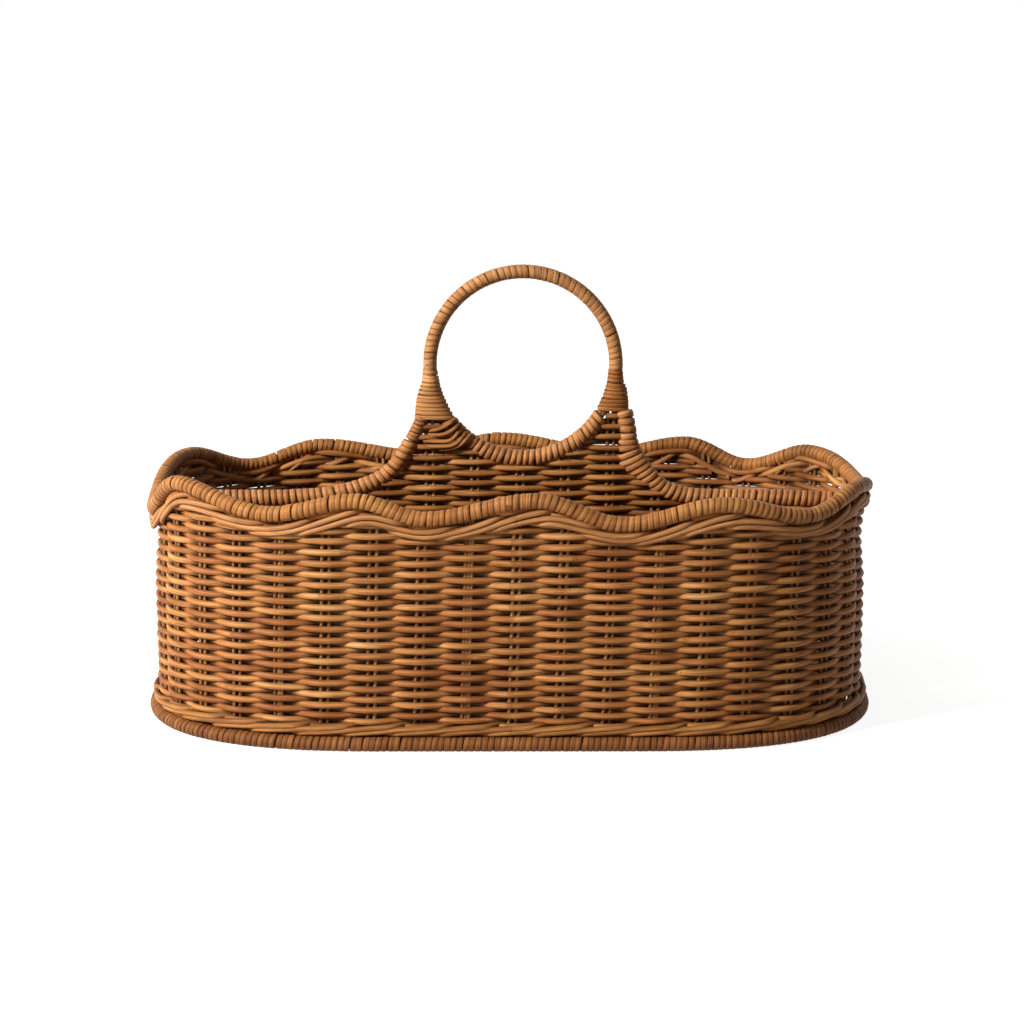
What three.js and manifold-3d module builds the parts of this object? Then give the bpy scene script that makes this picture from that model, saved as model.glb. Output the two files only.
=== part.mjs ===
// Oval rattan basket with a scalloped rim, a woven divider along its middle and a ring handle.
// Millimetres, +Z up. The front is -Y and the long side runs along X. The origin is on the
// floor, under the middle of the basket. Nothing on it moves: it is woven, bound and rigid.

import * as THREE from 'three';
import { mergeVertices } from 'three/addons/utils/BufferGeometryUtils.js';
import Module from 'manifold-3d';

const wasm = await Module();
wasm.setup();

// Plan of the woven wall, at the middle of its thickness.
const wallHalfLength = 202.2;
const wallHalfWidth = 98;
const straightHalfLength = 69; // half of the straight middle of each long side
const endFullness = 2.46; // exponent of the round ends: 2 is an ellipse, more is squarer
const wallThickness = 6;

// The weave's faces bulge where it runs over a pair of stakes, and dip midway between pairs.
const weaveBulge = 1;
const weaveDip = 1.4;

// The scalloped rim. Each crest and trough is [turn round the plan, height of the rim's middle].
// Turn 0 is the middle of the front, and turns grow towards +X. The scallops are hand made.
const rimCrests = [
  [0.014, 138.4], [0.11, 135.6], [0.201, 136.6], [0.314, 136.9], [0.393, 136.5],
  [0.511, 138.8], [0.615, 135.3], [0.702, 137.8], [0.82, 142], [0.921, 138.2],
];
const rimTroughs = [
  [0.059, 125.6], [0.159, 126.6], [0.257, 128.4], [0.357, 124.3], [0.44, 129],
  [0.554, 127.5], [0.656, 125.4], [0.776, 120.5], [0.875, 130.3], [0.956, 128.5],
];
const rimOutset = 2; // how far the rim's middle stands outside the wall's
const rimRadius = 4.4; // over the binding
const rimCoreRadius = 2.6;

// The foot ring under the wall.
const footOutset = 4;
const footRadius = 4.4;
const footCoreRadius = 2.6;
const footFlat = 0.5; // depth that wear has cut off the binding where it stands

// Stranded bands outside the wall, over the foot and under the rim.
const bottomWaleHeight = 11;
const bottomWaleProud = 4.4;
const topWaleHeight = 8;
const topWaleProud = 2.1;

// The woven base.
const baseThickness = 7;
const baseLift = 0.7; // the base's underside over the foot's top

// Stakes: pairs of thin canes side by side, which the wall is woven on.
const stakeCount = 42;
const firstStake = 1.3; // along the wall from the middle of the front
const sideStakePitch = 25.6; // on the long sides; closer where the wall turns
const sideStakesLeft = 5.5; // in front, this many pitches left and right of the first stake
const sideStakesRight = 6.5;
const stakeLean = 3.2; // the tops lean this far along the wall
const stakePairWidth = 5.4;
const stakeThickness = 2.4;
const stakeTopCover = 2; // weave left over a stake's end
const stakeTuck = 14; // foot of an end stake, pushed into the base
const firstCrossing = -7; // stakes from this one to the last cross the base to the other side
const lastCrossing = 6;

// The divider, in the plane y = 0.
const dividerThickness = 6;
const dividerStakePitch = 26.2;
const dividerStakeMiddle = 6;
const dividerStakesEachSide = 6;
const edgeRodRadius = 2.6;
const edgeRadius = 5.3; // over the edge's binding

// The ring handle is one round pole, bent to a full circle.
const ringX = 7.7; // the ring sits a little right of the middle
const ringZ = 198.5;
const ringRadius = 53.4;
const ringPoleRadius = 2.5;
const cradleRadius = 4.9; // over the binding of the ring's lower part
const cradleHalfAngle = 51; // degrees of the ring each side of its lowest point
const handleHalfAngle = 92.5; // degrees of the ring each side of its top

// The flat cane wound round the ring's upper part.
const handleCaneWidth = 5.8;
const handleCaneThickness = 1.1;
const handleLoops = 24;

// Routes of the divider's edge rods. They start by the wall, as [distance from the divider's
// end, height], and go up to the ring, as [across, up] from the ring's middle in ring radii.
const leftEdgeByWall = [[0.3, 122.3], [37.9, 122.3]];
const leftEdgeByRing = [
  [-2.541, -1.425], [-2.129, -1.395], [-1.811, -1.32], [-1.549, -1.219], [-1.38, -1.088],
  [-1.279, -0.951], [-1.182, -0.777], [-1.099, -0.609], [-1.06, -0.468], [-1.064, -0.346],
];
const rightEdgeByWall = [[0.3, 121.1], [27.9, 122.2]];
const rightEdgeByRing = [
  [2.584, -1.416], [2.14, -1.414], [1.822, -1.404], [1.551, -1.335], [1.382, -1.199],
  [1.264, -1.051], [1.189, -0.919], [1.144, -0.749], [1.118, -0.552], [1.081, -0.421],
  [1.071, -0.309],
];
const leastEdgeHeight = 122; // an edge rod's middle stays at least this high by the ring
const leftEdgeBoundTo = 0.905; // share of the rod's length that its binding covers
const rightEdgeBoundTo = 0.9;

// Lashings where an edge rod joins the ring, from the bottom up: [across, up] from the ring's
// middle in ring radii, and the half width there.
const leftLashingByRing = [
  [-0.955, -0.571, 10.6], [-0.979, -0.459, 9.4], [-0.998, -0.328, 7.5], [-0.994, -0.178, 4.9],
  [-1, -0.058, 4.2],
];
const rightLashingByRing = [
  [0.968, -0.481, 10.6], [0.991, -0.403, 9.2], [1.007, -0.29, 7.3], [0.996, -0.159, 4.9],
  [0.998, -0.058, 4.2],
];
const lashingHalfDepth = 4.6;

// Windings: one spiral ridge of cane, with this lead for each turn.
const rimPitch = 15;
const footPitch = 17;
const edgePitch = 12;
const lashingPitch = 3.4;
const ridgeHeight = 0.55;

const gap = 0.3; // between pieces that touch
const rimSeat = 0.65; // between the wavy rim and the weave under it
const jointGap = 0.6; // where a ring's binding starts and ends

const rimWindingStart = 0.55; // turn where the rim's winding starts, behind the left end
const footWindingStart = 0.5;
const tipDrop = 0.5; // how far a lashing's lower tip stands clear of the weave's corner

// Fineness of the faceted solids.
const rimCoreSteps = 80;
const footCoreSteps = 60;
const rodSides = 6;
const coreSides = 5;
const edgeSteps = 26;
const poleSteps = 36;
const loopSteps = 10;
const cradleSteps = 14;
const outlineSamples = 600; // for each quarter of the plan
const curveSamples = 1200;
const nudge = 1e-4; // share of a track's length that finds its direction
const weld = 1e-4; // points closer than this are one

const skins = {
  weave: { color: 0xa86a35, roughness: 0.55, metalness: 0 },
  strand: { color: 0xb5763c, roughness: 0.5, metalness: 0 },
  cane: { color: 0xbd7f45, roughness: 0.45, metalness: 0 },
  stake: { color: 0x9a6030, roughness: 0.6, metalness: 0 },
  core: { color: 0xc29058, roughness: 0.65, metalness: 0 },
};

// Points of one quarter of the plan, from the middle of the front to the right end.
function quarterOutline() {
  const reach = wallHalfLength - straightHalfLength;
  const points = [[0, -wallHalfWidth]];
  for (let i = 0; i <= outlineSamples; i += 1) {
    const angle = (i / outlineSamples) * Math.PI / 2;
    points.push([
      straightHalfLength + reach * Math.sin(angle) ** (2 / endFullness),
      -wallHalfWidth * Math.cos(angle) ** (2 / endFullness),
    ]);
  }
  return points;
}

// Distance along the quarter outline at each of its points.
function runningLengths(points) {
  const lengths = [0];
  for (let i = 1; i < points.length; i += 1) {
    const step = Math.hypot(points[i][0] - points[i - 1][0], points[i][1] - points[i - 1][1]);
    lengths.push(lengths[i - 1] + step);
  }
  return lengths;
}

const quarter = quarterOutline();
const quarterLengths = runningLengths(quarter);
const quarterLength = quarterLengths[quarterLengths.length - 1];
const planLength = 4 * quarterLength;

// The point of the plan at a turn, and the outward normal there.
function planAt(turn) {
  const around = ((turn % 1) + 1) % 1 * 4;
  const quadrant = Math.floor(around);
  const rising = quadrant % 2 === 0;
  const along = (rising ? around - quadrant : quadrant + 1 - around) * quarterLength;
  let k = 1;
  let last = quarterLengths.length - 1;
  while (k < last) {
    const middle = (k + last) >> 1;
    if (quarterLengths[middle] < along) k = middle + 1;
    else last = middle;
  }
  const share = (along - quarterLengths[k - 1]) / (quarterLengths[k] - quarterLengths[k - 1]);
  const x = quarter[k - 1][0] + share * (quarter[k][0] - quarter[k - 1][0]);
  const y = quarter[k - 1][1] + share * (quarter[k][1] - quarter[k - 1][1]);
  const reach = wallHalfLength - straightHalfLength;
  const slopeX = Math.max(0, x - straightHalfLength) ** (endFullness - 1) / reach ** endFullness;
  const slopeY = Math.abs(y) ** (endFullness - 1) / wallHalfWidth ** endFullness;
  const size = Math.hypot(slopeX, slopeY);
  const right = quadrant < 2 ? 1 : -1;
  const back = quadrant === 0 || quadrant === 3 ? -1 : 1;
  return new THREE.Vector4(
    right * x, back * Math.abs(y), right * slopeX / size, back * slopeY / size,
  );
}

// Height of the rim's middle at a turn: half a cosine from each crest to each trough.
function rimHeight(turn) {
  const marks = [...rimCrests, ...rimTroughs].sort((a, b) => a[0] - b[0]);
  const here = ((turn % 1) + 1) % 1;
  const first = marks[0];
  const ring = [...marks, [first[0] + 1, first[1]]];
  const place = here < first[0] ? here + 1 : here;
  const k = ring.findIndex((mark, i) => i > 0 && place <= mark[0]);
  const share = (place - ring[k - 1][0]) / (ring[k][0] - ring[k - 1][0]);
  const rise = 0.5 - 0.5 * Math.cos(Math.PI * share);
  return ring[k - 1][1] + rise * (ring[k][1] - ring[k - 1][1]);
}

// Top of the weave under the rim, square to the rim's slope.
function weaveTop(turn) {
  const millimetre = 1 / planLength;
  const slope = (rimHeight(turn + millimetre) - rimHeight(turn - millimetre)) / 2;
  return rimHeight(turn) - (rimRadius + rimSeat) * Math.hypot(1, slope);
}

// A track gives, at a share of its length from 0 to 1, a point and two axes square to the way.
function frameFrom(point, ahead, side) {
  const way = ahead.clone().sub(point).normalize();
  const u = side.clone().sub(way.clone().multiplyScalar(side.dot(way))).normalize();
  return { point, u, v: u.clone().cross(way), way };
}

// Round the wall's plan, at an outset from it. u points out and v up.
function ringTrack(outset, heightAt) {
  const pointAt = (turn) => {
    const p = planAt(turn);
    return new THREE.Vector3(p.x + outset * p.z, p.y + outset * p.w, heightAt(turn));
  };
  const frame = (turn) => {
    const p = planAt(turn);
    return frameFrom(pointAt(turn), pointAt(turn + nudge), new THREE.Vector3(p.z, p.w, 0));
  };
  return { closed: true, length: planLength + 2 * Math.PI * outset, frame };
}

const acrossDivider = new THREE.Vector3(0, 1, 0);

// Part of the ring handle's circle, by angles in degrees from +X.
function arcTrack(fromDegrees, toDegrees) {
  const pointAt = (share) => {
    const angle = THREE.MathUtils.degToRad(fromDegrees + share * (toDegrees - fromDegrees));
    return new THREE.Vector3(
      ringX + ringRadius * Math.cos(angle), 0, ringZ + ringRadius * Math.sin(angle),
    );
  };
  const degrees = Math.abs(toDegrees - fromDegrees);
  return {
    closed: degrees >= 360,
    length: ringRadius * THREE.MathUtils.degToRad(degrees),
    frame: (share) => frameFrom(pointAt(share), pointAt(share + nudge), acrossDivider),
  };
}

// A smooth curve in the divider's plane through [x, z] points, up to a share of its length.
function curveTrack(points, upTo = 1) {
  const curve = new THREE.CatmullRomCurve3(
    points.map(([x, z]) => new THREE.Vector3(x, 0, z)), false, 'centripetal',
  );
  curve.arcLengthDivisions = curveSamples;
  const frame = (share) => {
    const place = THREE.MathUtils.clamp(share * upTo, 0, 1);
    const point = curve.getPointAt(place);
    const ahead = point.clone().add(curve.getTangentAt(place));
    return frameFrom(point, ahead, acrossDivider);
  };
  return { closed: false, length: curve.getLength() * upTo, frame };
}

function place(frame, a, b) {
  return frame.point.clone().addScaledVector(frame.u, a).addScaledVector(frame.v, b);
}

// A closed surface from points and triangles, turned so that its faces point out.
function surface(points, triangles) {
  let volume = 0;
  const cross = new THREE.Vector3();
  for (const [a, b, c] of triangles) {
    volume += points[a].dot(cross.crossVectors(points[b], points[c]));
  }
  const out = volume < 0 ? triangles.map(([a, b, c]) => [a, c, b]) : triangles;
  const geometry = new THREE.BufferGeometry();
  const numbers = points.flatMap((p) => [p.x, p.y, p.z]);
  geometry.setAttribute('position', new THREE.Float32BufferAttribute(numbers, 3));
  geometry.setIndex(out.flat());
  return geometry;
}

// Joins rows of points, one row a station. Open ends are closed flat, so sections are convex.
function skin(rows, closed) {
  const sides = rows[0].length;
  const triangles = [];
  const last = closed ? rows.length : rows.length - 1;
  for (let j = 0; j < last; j += 1) {
    const here = j * sides;
    const next = ((j + 1) % rows.length) * sides;
    for (let i = 0; i < sides; i += 1) {
      const k = (i + 1) % sides;
      triangles.push([here + i, here + k, next + k], [here + i, next + k, next + i]);
    }
  }
  if (!closed) {
    const end = (rows.length - 1) * sides;
    for (let i = 1; i < sides - 1; i += 1) {
      triangles.push([0, i + 1, i], [end, end + i, end + i + 1]);
    }
  }
  return surface(rows.flat(), triangles);
}

// A round rod along a track.
function rod(track, radius, steps, sides) {
  const rows = [];
  const stations = track.closed ? steps : steps + 1;
  for (let j = 0; j < stations; j += 1) {
    const frame = track.frame(j / steps);
    const row = [];
    for (let i = 0; i < sides; i += 1) {
      const angle = 2 * Math.PI * (i + 0.5) / sides;
      row.push(place(frame, radius * Math.cos(angle), radius * Math.sin(angle)));
    }
    rows.push(row);
  }
  return skin(rows, track.closed);
}

// A rod wound close with cane: one spiral ridge, two rings of points for each turn, each ring
// drawn out by a whole turn from its first point to its last. sizeAt gives the half width along
// u and v at a share of the track.
function wound(track, sizeAt, pitch, sides) {
  const turns = Math.max(2, Math.round(track.length / pitch));
  const rings = track.closed ? 2 * turns : 2 * turns - 1;
  const points = [];
  const addPoint = (i, j) => {
    const share = (j + 2 * i / sides) / (2 * turns);
    const frame = track.frame(share);
    const [a, b] = sizeAt(share);
    const dip = j % 2 === 0 ? 0 : ridgeHeight;
    const angle = 2 * Math.PI * i / sides;
    points.push(place(frame, (a - dip) * Math.cos(angle), (b - dip) * Math.sin(angle)));
  };
  for (let j = 0; j < rings; j += 1) {
    for (let i = 0; i < sides; i += 1) addPoint(i, j);
  }
  if (!track.closed) {
    addPoint(0, rings);
    addPoint(0, rings + 1);
  }
  const at = (i, j) => {
    const row = i === sides ? j + 2 : j;
    const column = i % sides;
    if (track.closed) return (row % rings) * sides + column;
    return row < rings ? row * sides + column : rings * sides + row - rings;
  };
  const triangles = [];
  const lastRing = track.closed ? rings : rings - 1;
  for (let j = 0; j < lastRing; j += 1) {
    for (let i = 0; i < sides; i += 1) {
      triangles.push([at(i, j), at(i + 1, j), at(i + 1, j + 1)]);
      triangles.push([at(i, j), at(i + 1, j + 1), at(i, j + 1)]);
    }
  }
  if (!track.closed) {
    closeEnd(points, triangles, at, sides, 0, true);
    closeEnd(points, triangles, at, sides, rings - 1, false);
    points[points.length - 2].copy(track.frame(0.5 / turns).point);
    points[points.length - 1].copy(track.frame(1 - 0.5 / turns).point);
  }
  return surface(points, triangles);
}

// Closes the stepped end of an open winding with triangles to a point in its middle.
function closeEnd(points, triangles, at, sides, ring, first) {
  const middle = points.push(new THREE.Vector3()) - 1;
  const loop = [];
  for (let i = 0; i <= sides; i += 1) loop.push(at(i, ring));
  loop.push(at(0, ring + 1));
  for (let i = 0; i < loop.length; i += 1) {
    const a = loop[i];
    const b = loop[(i + 1) % loop.length];
    triangles.push(first ? [middle, b, a] : [middle, a, b]);
  }
}

// Same half width all round and all along.
const even = (radius) => () => [radius, radius];

// A solid for joining and cutting, and back.
function solid(geometry) {
  const bare = geometry.clone();
  bare.deleteAttribute('normal');
  bare.deleteAttribute('uv');
  const merged = mergeVertices(bare, weld);
  return new wasm.Manifold(new wasm.Mesh({
    numProp: 3,
    vertProperties: new Float32Array(merged.attributes.position.array),
    triVerts: new Uint32Array(merged.index.array),
  }));
}

function geometryOf(body) {
  const mesh = body.getMesh();
  const geometry = new THREE.BufferGeometry();
  geometry.setAttribute('position', new THREE.Float32BufferAttribute(mesh.vertProperties, 3));
  geometry.setIndex(Array.from(mesh.triVerts));
  return geometry;
}

function cut(geometry, ...tools) {
  let body = solid(geometry);
  for (const tool of tools) body = body.subtract(solid(tool));
  return geometryOf(body);
}

// A block centred on a frame: its thickness lies along the track.
function blockAt(frame, width, height, thickness) {
  const block = new THREE.BoxGeometry(width, height, thickness);
  const turn = new THREE.Matrix4().makeBasis(frame.u, frame.v, frame.u.clone().cross(frame.v));
  return block.applyMatrix4(turn.setPosition(frame.point));
}

const basket = new THREE.Group();

function add(name, geometry, look) {
  const mesh = new THREE.Mesh(geometry, new THREE.MeshStandardMaterial(skins[look]));
  mesh.name = name;
  basket.add(mesh);
}

// Heights that the pieces hand on to each other, from the floor up.
const flatSide = Math.cos(Math.PI / rodSides);
const footZ = footRadius - footFlat;
const footTop = footZ + footRadius;
const wallBottom = footTop + gap;
const baseBottom = footTop + baseLift;
const baseTop = baseBottom + baseThickness;
const stakeZ = baseBottom + baseThickness / 2;
const halfWall = wallThickness / 2;

// Foot ring: a hoop of rods, and the cane wound round it, worn flat on the floor.
function buildFoot() {
  const track = ringTrack(footOutset, () => footZ);
  const core = rod(track, footCoreRadius, footCoreSteps, coreSides);
  const bore = rod(track, footCoreRadius + gap / flatSide, footCoreSteps, coreSides);
  const winding = wound(track, even(footRadius / flatSide), footPitch, rodSides);
  const worn = new THREE.BoxGeometry(3 * wallHalfLength, 3 * wallHalfLength, 2 * footRadius);
  worn.translate(0, 0, -footRadius);
  const start = blockAt(
    track.frame(footWindingStart), 4 * footRadius, 4 * footRadius, jointGap,
  );
  add('foot_core', core, 'core');
  add('foot_binding', cut(winding, bore, worn, start), 'cane');
}

// Rim: a hoop of rods that follows the scallops, and the cane wound round it.
function buildRim() {
  const track = ringTrack(rimOutset, rimHeight);
  const core = rod(track, rimCoreRadius, rimCoreSteps, coreSides);
  const bore = rod(track, rimCoreRadius + gap / flatSide, rimCoreSteps, coreSides);
  const winding = wound(track, even(rimRadius / flatSide), rimPitch, rodSides);
  const start = blockAt(
    track.frame(rimWindingStart), 4 * rimRadius, 4 * rimRadius, jointGap,
  );
  add('rim_core', core, 'core');
  add('rim_binding', cut(winding, bore, start), 'cane');
}

// Numbers of the places where the stakes' pitch changes, and their distances from the first
// stake. The back mirrors the front, so that a crossing stake meets its own other end.
const pitchMarks = [
  [-sideStakesLeft, -sideStakesLeft * sideStakePitch],
  [sideStakesRight, sideStakesRight * sideStakePitch],
  [stakeCount / 2 - sideStakesRight, planLength / 2 - sideStakesRight * sideStakePitch],
  [stakeCount / 2 + sideStakesLeft, planLength / 2 + sideStakesLeft * sideStakePitch],
  [stakeCount - sideStakesLeft, planLength - sideStakesLeft * sideStakePitch],
];

// Turn of a stake round the plan, or of a place between two stakes.
function stakeTurn(number) {
  const laps = Math.floor((number + sideStakesLeft) / stakeCount);
  const k = number - laps * stakeCount;
  const i = pitchMarks.findIndex((mark, j) => j > 0 && k <= mark[0]);
  const [before, after] = [pitchMarks[i - 1], pitchMarks[i]];
  const share = (k - before[0]) / (after[0] - before[0]);
  return laps + (firstStake + THREE.MathUtils.lerp(before[1], after[1], share)) / planLength;
}

// Turns of all stakes and of the places midway between them, in order.
const bandTurns = Array.from({ length: 2 * stakeCount }, (_, j) => stakeTurn(j / 2));

const onPlan = (turn, outset, z) => {
  const p = planAt(turn);
  return new THREE.Vector3(p.x + outset * p.z, p.y + outset * p.w, z);
};

// A band round the wall's plan: sectionAt gives its corners at a turn, as [outset, height].
function band(sectionAt) {
  return skin(bandTurns.map((turn) => (
    sectionAt(turn).map(([outset, z]) => onPlan(turn, outset, z))
  )), true);
}

// A pair of stakes along points, each with the way that the pair is wide. grow widens it all
// round, for the channel that it runs in.
function stakePair(stations, grow) {
  const halfWide = stakePairWidth / 2 + grow;
  const halfThick = stakeThickness / 2 + grow;
  const corner = stakeThickness / 2;
  const squared = [
    [halfWide, -halfThick], [halfWide, halfThick], [-halfWide, halfThick], [-halfWide, -halfThick],
  ];
  const bevelled = [
    [halfWide, 0], [halfWide - corner, halfThick], [corner - halfWide, halfThick],
    [-halfWide, 0], [corner - halfWide, -halfThick], [halfWide - corner, -halfThick],
  ];
  const section = grow > 0 ? squared : bevelled;
  const rows = stations.map(({ point, wide, thick }) => section.map(([a, b]) => (
    point.clone().addScaledVector(wide, a).addScaledVector(thick, b)
  )));
  return skin(rows, false);
}

// Stations of a stake in the wall, from its top down and round its bend into the base.
function stakeDown(turn, topLift) {
  const lean = stakeLean / planLength;
  const up = new THREE.Vector3(0, 0, 1);
  const stationAt = (here, inset, z, thick) => {
    const p = planAt(here);
    const out = new THREE.Vector3(p.z, p.w, 0);
    const point = new THREE.Vector3(p.x - inset * p.z, p.y - inset * p.w, z);
    return { point, wide: out.clone().cross(up), thick: thick(out) };
  };
  const bend = stakeThickness; // radius of the bend into the base
  return [
    stationAt(turn + lean, 0, weaveTop(turn + lean) - stakeTopCover + topLift, (out) => out),
    stationAt(turn, 0, stakeZ + bend, (out) => out),
    stationAt(turn, bend, stakeZ, () => up.clone().negate()),
  ];
}

// The same stations in the other order, turned so that the pair goes on without a twist.
function turnedRound(stations) {
  return stations.reverse().map(({ point, wide, thick }) => (
    { point, wide: wide.clone().negate(), thick }
  ));
}

// All wall stakes as functions of how much longer they are made, for their channels. A crossing
// one is one long pair: down the front wall, through the base and up the back wall. End ones are
// tucked into the base.
function stakeRoutes() {
  const routes = [];
  for (let k = firstCrossing; k <= lastCrossing; k += 1) {
    routes.push((lift) => [
      ...stakeDown(stakeTurn(k), lift),
      ...turnedRound(stakeDown(stakeTurn(stakeCount / 2 - k), lift)),
    ]);
  }
  for (let k = lastCrossing + 1; k < stakeCount + firstCrossing; k += 1) {
    const acrossFrom = stakeCount / 2 - k;
    if (acrossFrom < firstCrossing || acrossFrom > lastCrossing) {
      routes.push((lift) => {
        const down = stakeDown(stakeTurn(k), lift);
        const foot = down[down.length - 1];
        const p = planAt(stakeTurn(k));
        const inward = new THREE.Vector3(-p.z, -p.w, 0).multiplyScalar(stakeTuck + lift);
        return [...down, { ...foot, point: foot.point.clone().add(inward) }];
      });
    }
  }
  return routes;
}

// How far a weave's face stands out from its plain one, by half pitches from a pair of stakes.
const reliefAt = (halfPitches) => (halfPitches % 2 === 0 ? weaveBulge : -weaveDip);

// The wall before its channels: an upright bulge outside each pair of stakes, leaning with it.
// Inside it is plain, where the base and the divider bear on it.
function wallRelief() {
  const lean = stakeLean / planLength;
  return skin(bandTurns.map((turn, k) => {
    const outer = halfWall + reliefAt(k);
    const top = weaveTop(turn + lean);
    return [
      onPlan(turn, -halfWall, wallBottom), onPlan(turn, outer, wallBottom),
      onPlan(turn + lean, outer, top), onPlan(turn + lean, -halfWall, top),
    ];
  }), true);
}

// Wall, base and the stakes in them, with the stranded bands over the foot and under the rim.
function buildWall() {
  const routes = stakeRoutes();
  const channels = routes.map((route) => stakePair(route(gap), gap));
  add('wall_weave', cut(wallRelief(), ...channels), 'weave');
  const lower = bandTurns.map((turn) => onPlan(turn, -halfWall - gap, baseBottom));
  const upper = bandTurns.map((turn) => onPlan(turn, -halfWall - gap, baseTop));
  add('base_weave', cut(skin([lower, upper], false), ...channels), 'weave');
  const inner = halfWall + weaveBulge + gap;
  add('bottom_wale', band(() => [
    [inner, wallBottom], [inner + bottomWaleProud, wallBottom],
    [inner + bottomWaleProud, wallBottom + bottomWaleHeight / 2],
    [inner, wallBottom + bottomWaleHeight],
  ]), 'strand');
  add('top_wale', band((turn) => [
    [inner, weaveTop(turn) - topWaleHeight],
    [inner + topWaleProud, weaveTop(turn) - topWaleHeight],
    [inner + topWaleProud, weaveTop(turn)],
    [inner, weaveTop(turn)],
  ]), 'strand');
  routes.forEach((route, k) => {
    const kind = k <= lastCrossing - firstCrossing ? 'cross_stakes' : 'end_stakes';
    add(`${kind}_${k + 1}`, stakePair(route(0), 0), 'stake');
  });
}

const dividerEnd = wallHalfLength - halfWall - gap;

// A place that is given from the ring's middle in ring radii, with what follows it.
const fromRing = ([across, up, ...more]) => [
  ringX + across * ringRadius, Math.max(leastEdgeHeight, ringZ + up * ringRadius), ...more,
];

// A whole route of an edge rod. side is -1 on the left and 1 on the right.
const edgeRoute = (side, byWall, byRing) => [
  ...byWall.map(([inset, z]) => [side * (dividerEnd - inset), z]), ...byRing.map(fromRing),
];

const leftEdge = edgeRoute(-1, leftEdgeByWall, leftEdgeByRing);
const rightEdge = edgeRoute(1, rightEdgeByWall, rightEdgeByRing);
const leftLashing = leftLashingByRing.map(fromRing);
const rightLashing = rightLashingByRing.map(fromRing);
const leftTrack = curveTrack(leftEdge);
const rightTrack = curveTrack(rightEdge);
const poleTrack = arcTrack(-90, 270);
const edgeChannel = (track) => rod(track, edgeRodRadius + gap / flatSide, edgeSteps, rodSides);
const poleChannel = () => rod(poleTrack, ringPoleRadius + gap / flatSide, poleSteps, rodSides);

// The ring pole with its windings: fine flat cane on the upper part, round cane below.
function buildHandle() {
  add('handle_ring', rod(poleTrack, ringPoleRadius, poleSteps, rodSides), 'core');
  const cradle = arcTrack(-90 - cradleHalfAngle, -90 + cradleHalfAngle);
  const winding = wound(cradle, even(cradleRadius / flatSide), edgePitch, rodSides);
  add('cradle_binding', cut(winding, poleChannel()), 'cane');
  add('handle_binding', handleWinding(), 'cane');
}

// One unbroken flat strip, wound round the pole from one joint over the top to the other.
function handleWinding() {
  const track = arcTrack(90 + handleHalfAngle, 90 - handleHalfAngle);
  const radius = ringPoleRadius + 2 * gap + handleCaneThickness / 2;
  const steps = handleLoops * loopSteps;
  const middleAt = (share) => {
    const frame = track.frame(share);
    const angle = 2 * Math.PI * handleLoops * share;
    const out = frame.u.clone().multiplyScalar(Math.cos(angle));
    out.addScaledVector(frame.v, Math.sin(angle));
    return { point: frame.point.clone().addScaledVector(out, radius), out };
  };
  const rows = [];
  for (let j = 0; j <= steps; j += 1) {
    const { point, out } = middleAt(j / steps);
    const way = middleAt(j / steps + nudge).point.sub(point).normalize();
    const across = out.clone().cross(way).normalize();
    const face = way.clone().cross(across);
    rows.push([[1, 1], [-1, 1], [-1, -1], [1, -1]].map(([a, b]) => (
      point.clone().addScaledVector(across, a * handleCaneWidth / 2)
        .addScaledVector(face, b * handleCaneThickness / 2)
    )));
  }
  console.log(`handle_binding: least gap to itself ${leastGap(rows).toFixed(2)} mm`);
  return skin(rows, false);
}

// Least distance between the edges of one turn of a strip and points of the next turn.
function leastGap(rows) {
  const edge = new THREE.Line3();
  const nearest = new THREE.Vector3();
  let least = Infinity;
  for (let j = 0; j + loopSteps + 2 < rows.length; j += 1) {
    for (let k = j + loopSteps - 2; k < j + loopSteps + 2; k += 1) {
      for (let i = 0; i < rows[k].length; i += 1) {
        edge.set(rows[k][i], rows[k + 1][i]);
        for (const point of rows[j]) {
          edge.closestPointToPoint(point, true, nearest);
          least = Math.min(least, nearest.distanceTo(point));
        }
      }
    }
  }
  return least;
}

// A lashing over the ring pole and the end of an edge rod, thick below and slim above.
function lashing(shape, edgeTrack) {
  const track = curveTrack(shape.map(([x, z]) => [x, z]));
  const sizeAt = (share) => {
    const spot = THREE.MathUtils.clamp(share, 0, 1) * (shape.length - 1);
    const k = Math.min(Math.floor(spot), shape.length - 2);
    const half = THREE.MathUtils.lerp(shape[k][2], shape[k + 1][2], spot - k);
    return [Math.min(lashingHalfDepth, half), half];
  };
  const winding = wound(track, sizeAt, lashingPitch, rodSides);
  return cut(winding, poleChannel(), edgeChannel(edgeTrack));
}

// An edge rod and the cane wound round it, up to the joint.
function buildEdge(side, route, boundTo, shape) {
  const track = curveTrack(route);
  const bound = curveTrack(route, boundTo);
  const winding = wound(bound, even(edgeRadius / flatSide), edgePitch, rodSides);
  add(`${side}_edge_rod`, rod(track, edgeRodRadius, edgeSteps, rodSides), 'core');
  add(`${side}_edge_binding`, cut(winding, edgeChannel(track)), 'cane');
  add(`${side}_joint_lashing`, lashing(shape, track), 'cane');
}

// Points under an edge's binding, from the wall at sideways up to the joint.
function underEdge(track, boundTo, sideways) {
  const points = [];
  const steps = Math.floor(edgeSteps * boundTo);
  for (let j = 0; j <= steps; j += 1) {
    const frame = track.frame(boundTo * j / steps);
    const down = frame.v.z > 0 ? -1 : 1;
    const p = place(frame, 0, down * (edgeRadius + gap));
    points.push([j === 0 ? sideways : p.x, p.z]);
  }
  return points;
}

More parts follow.
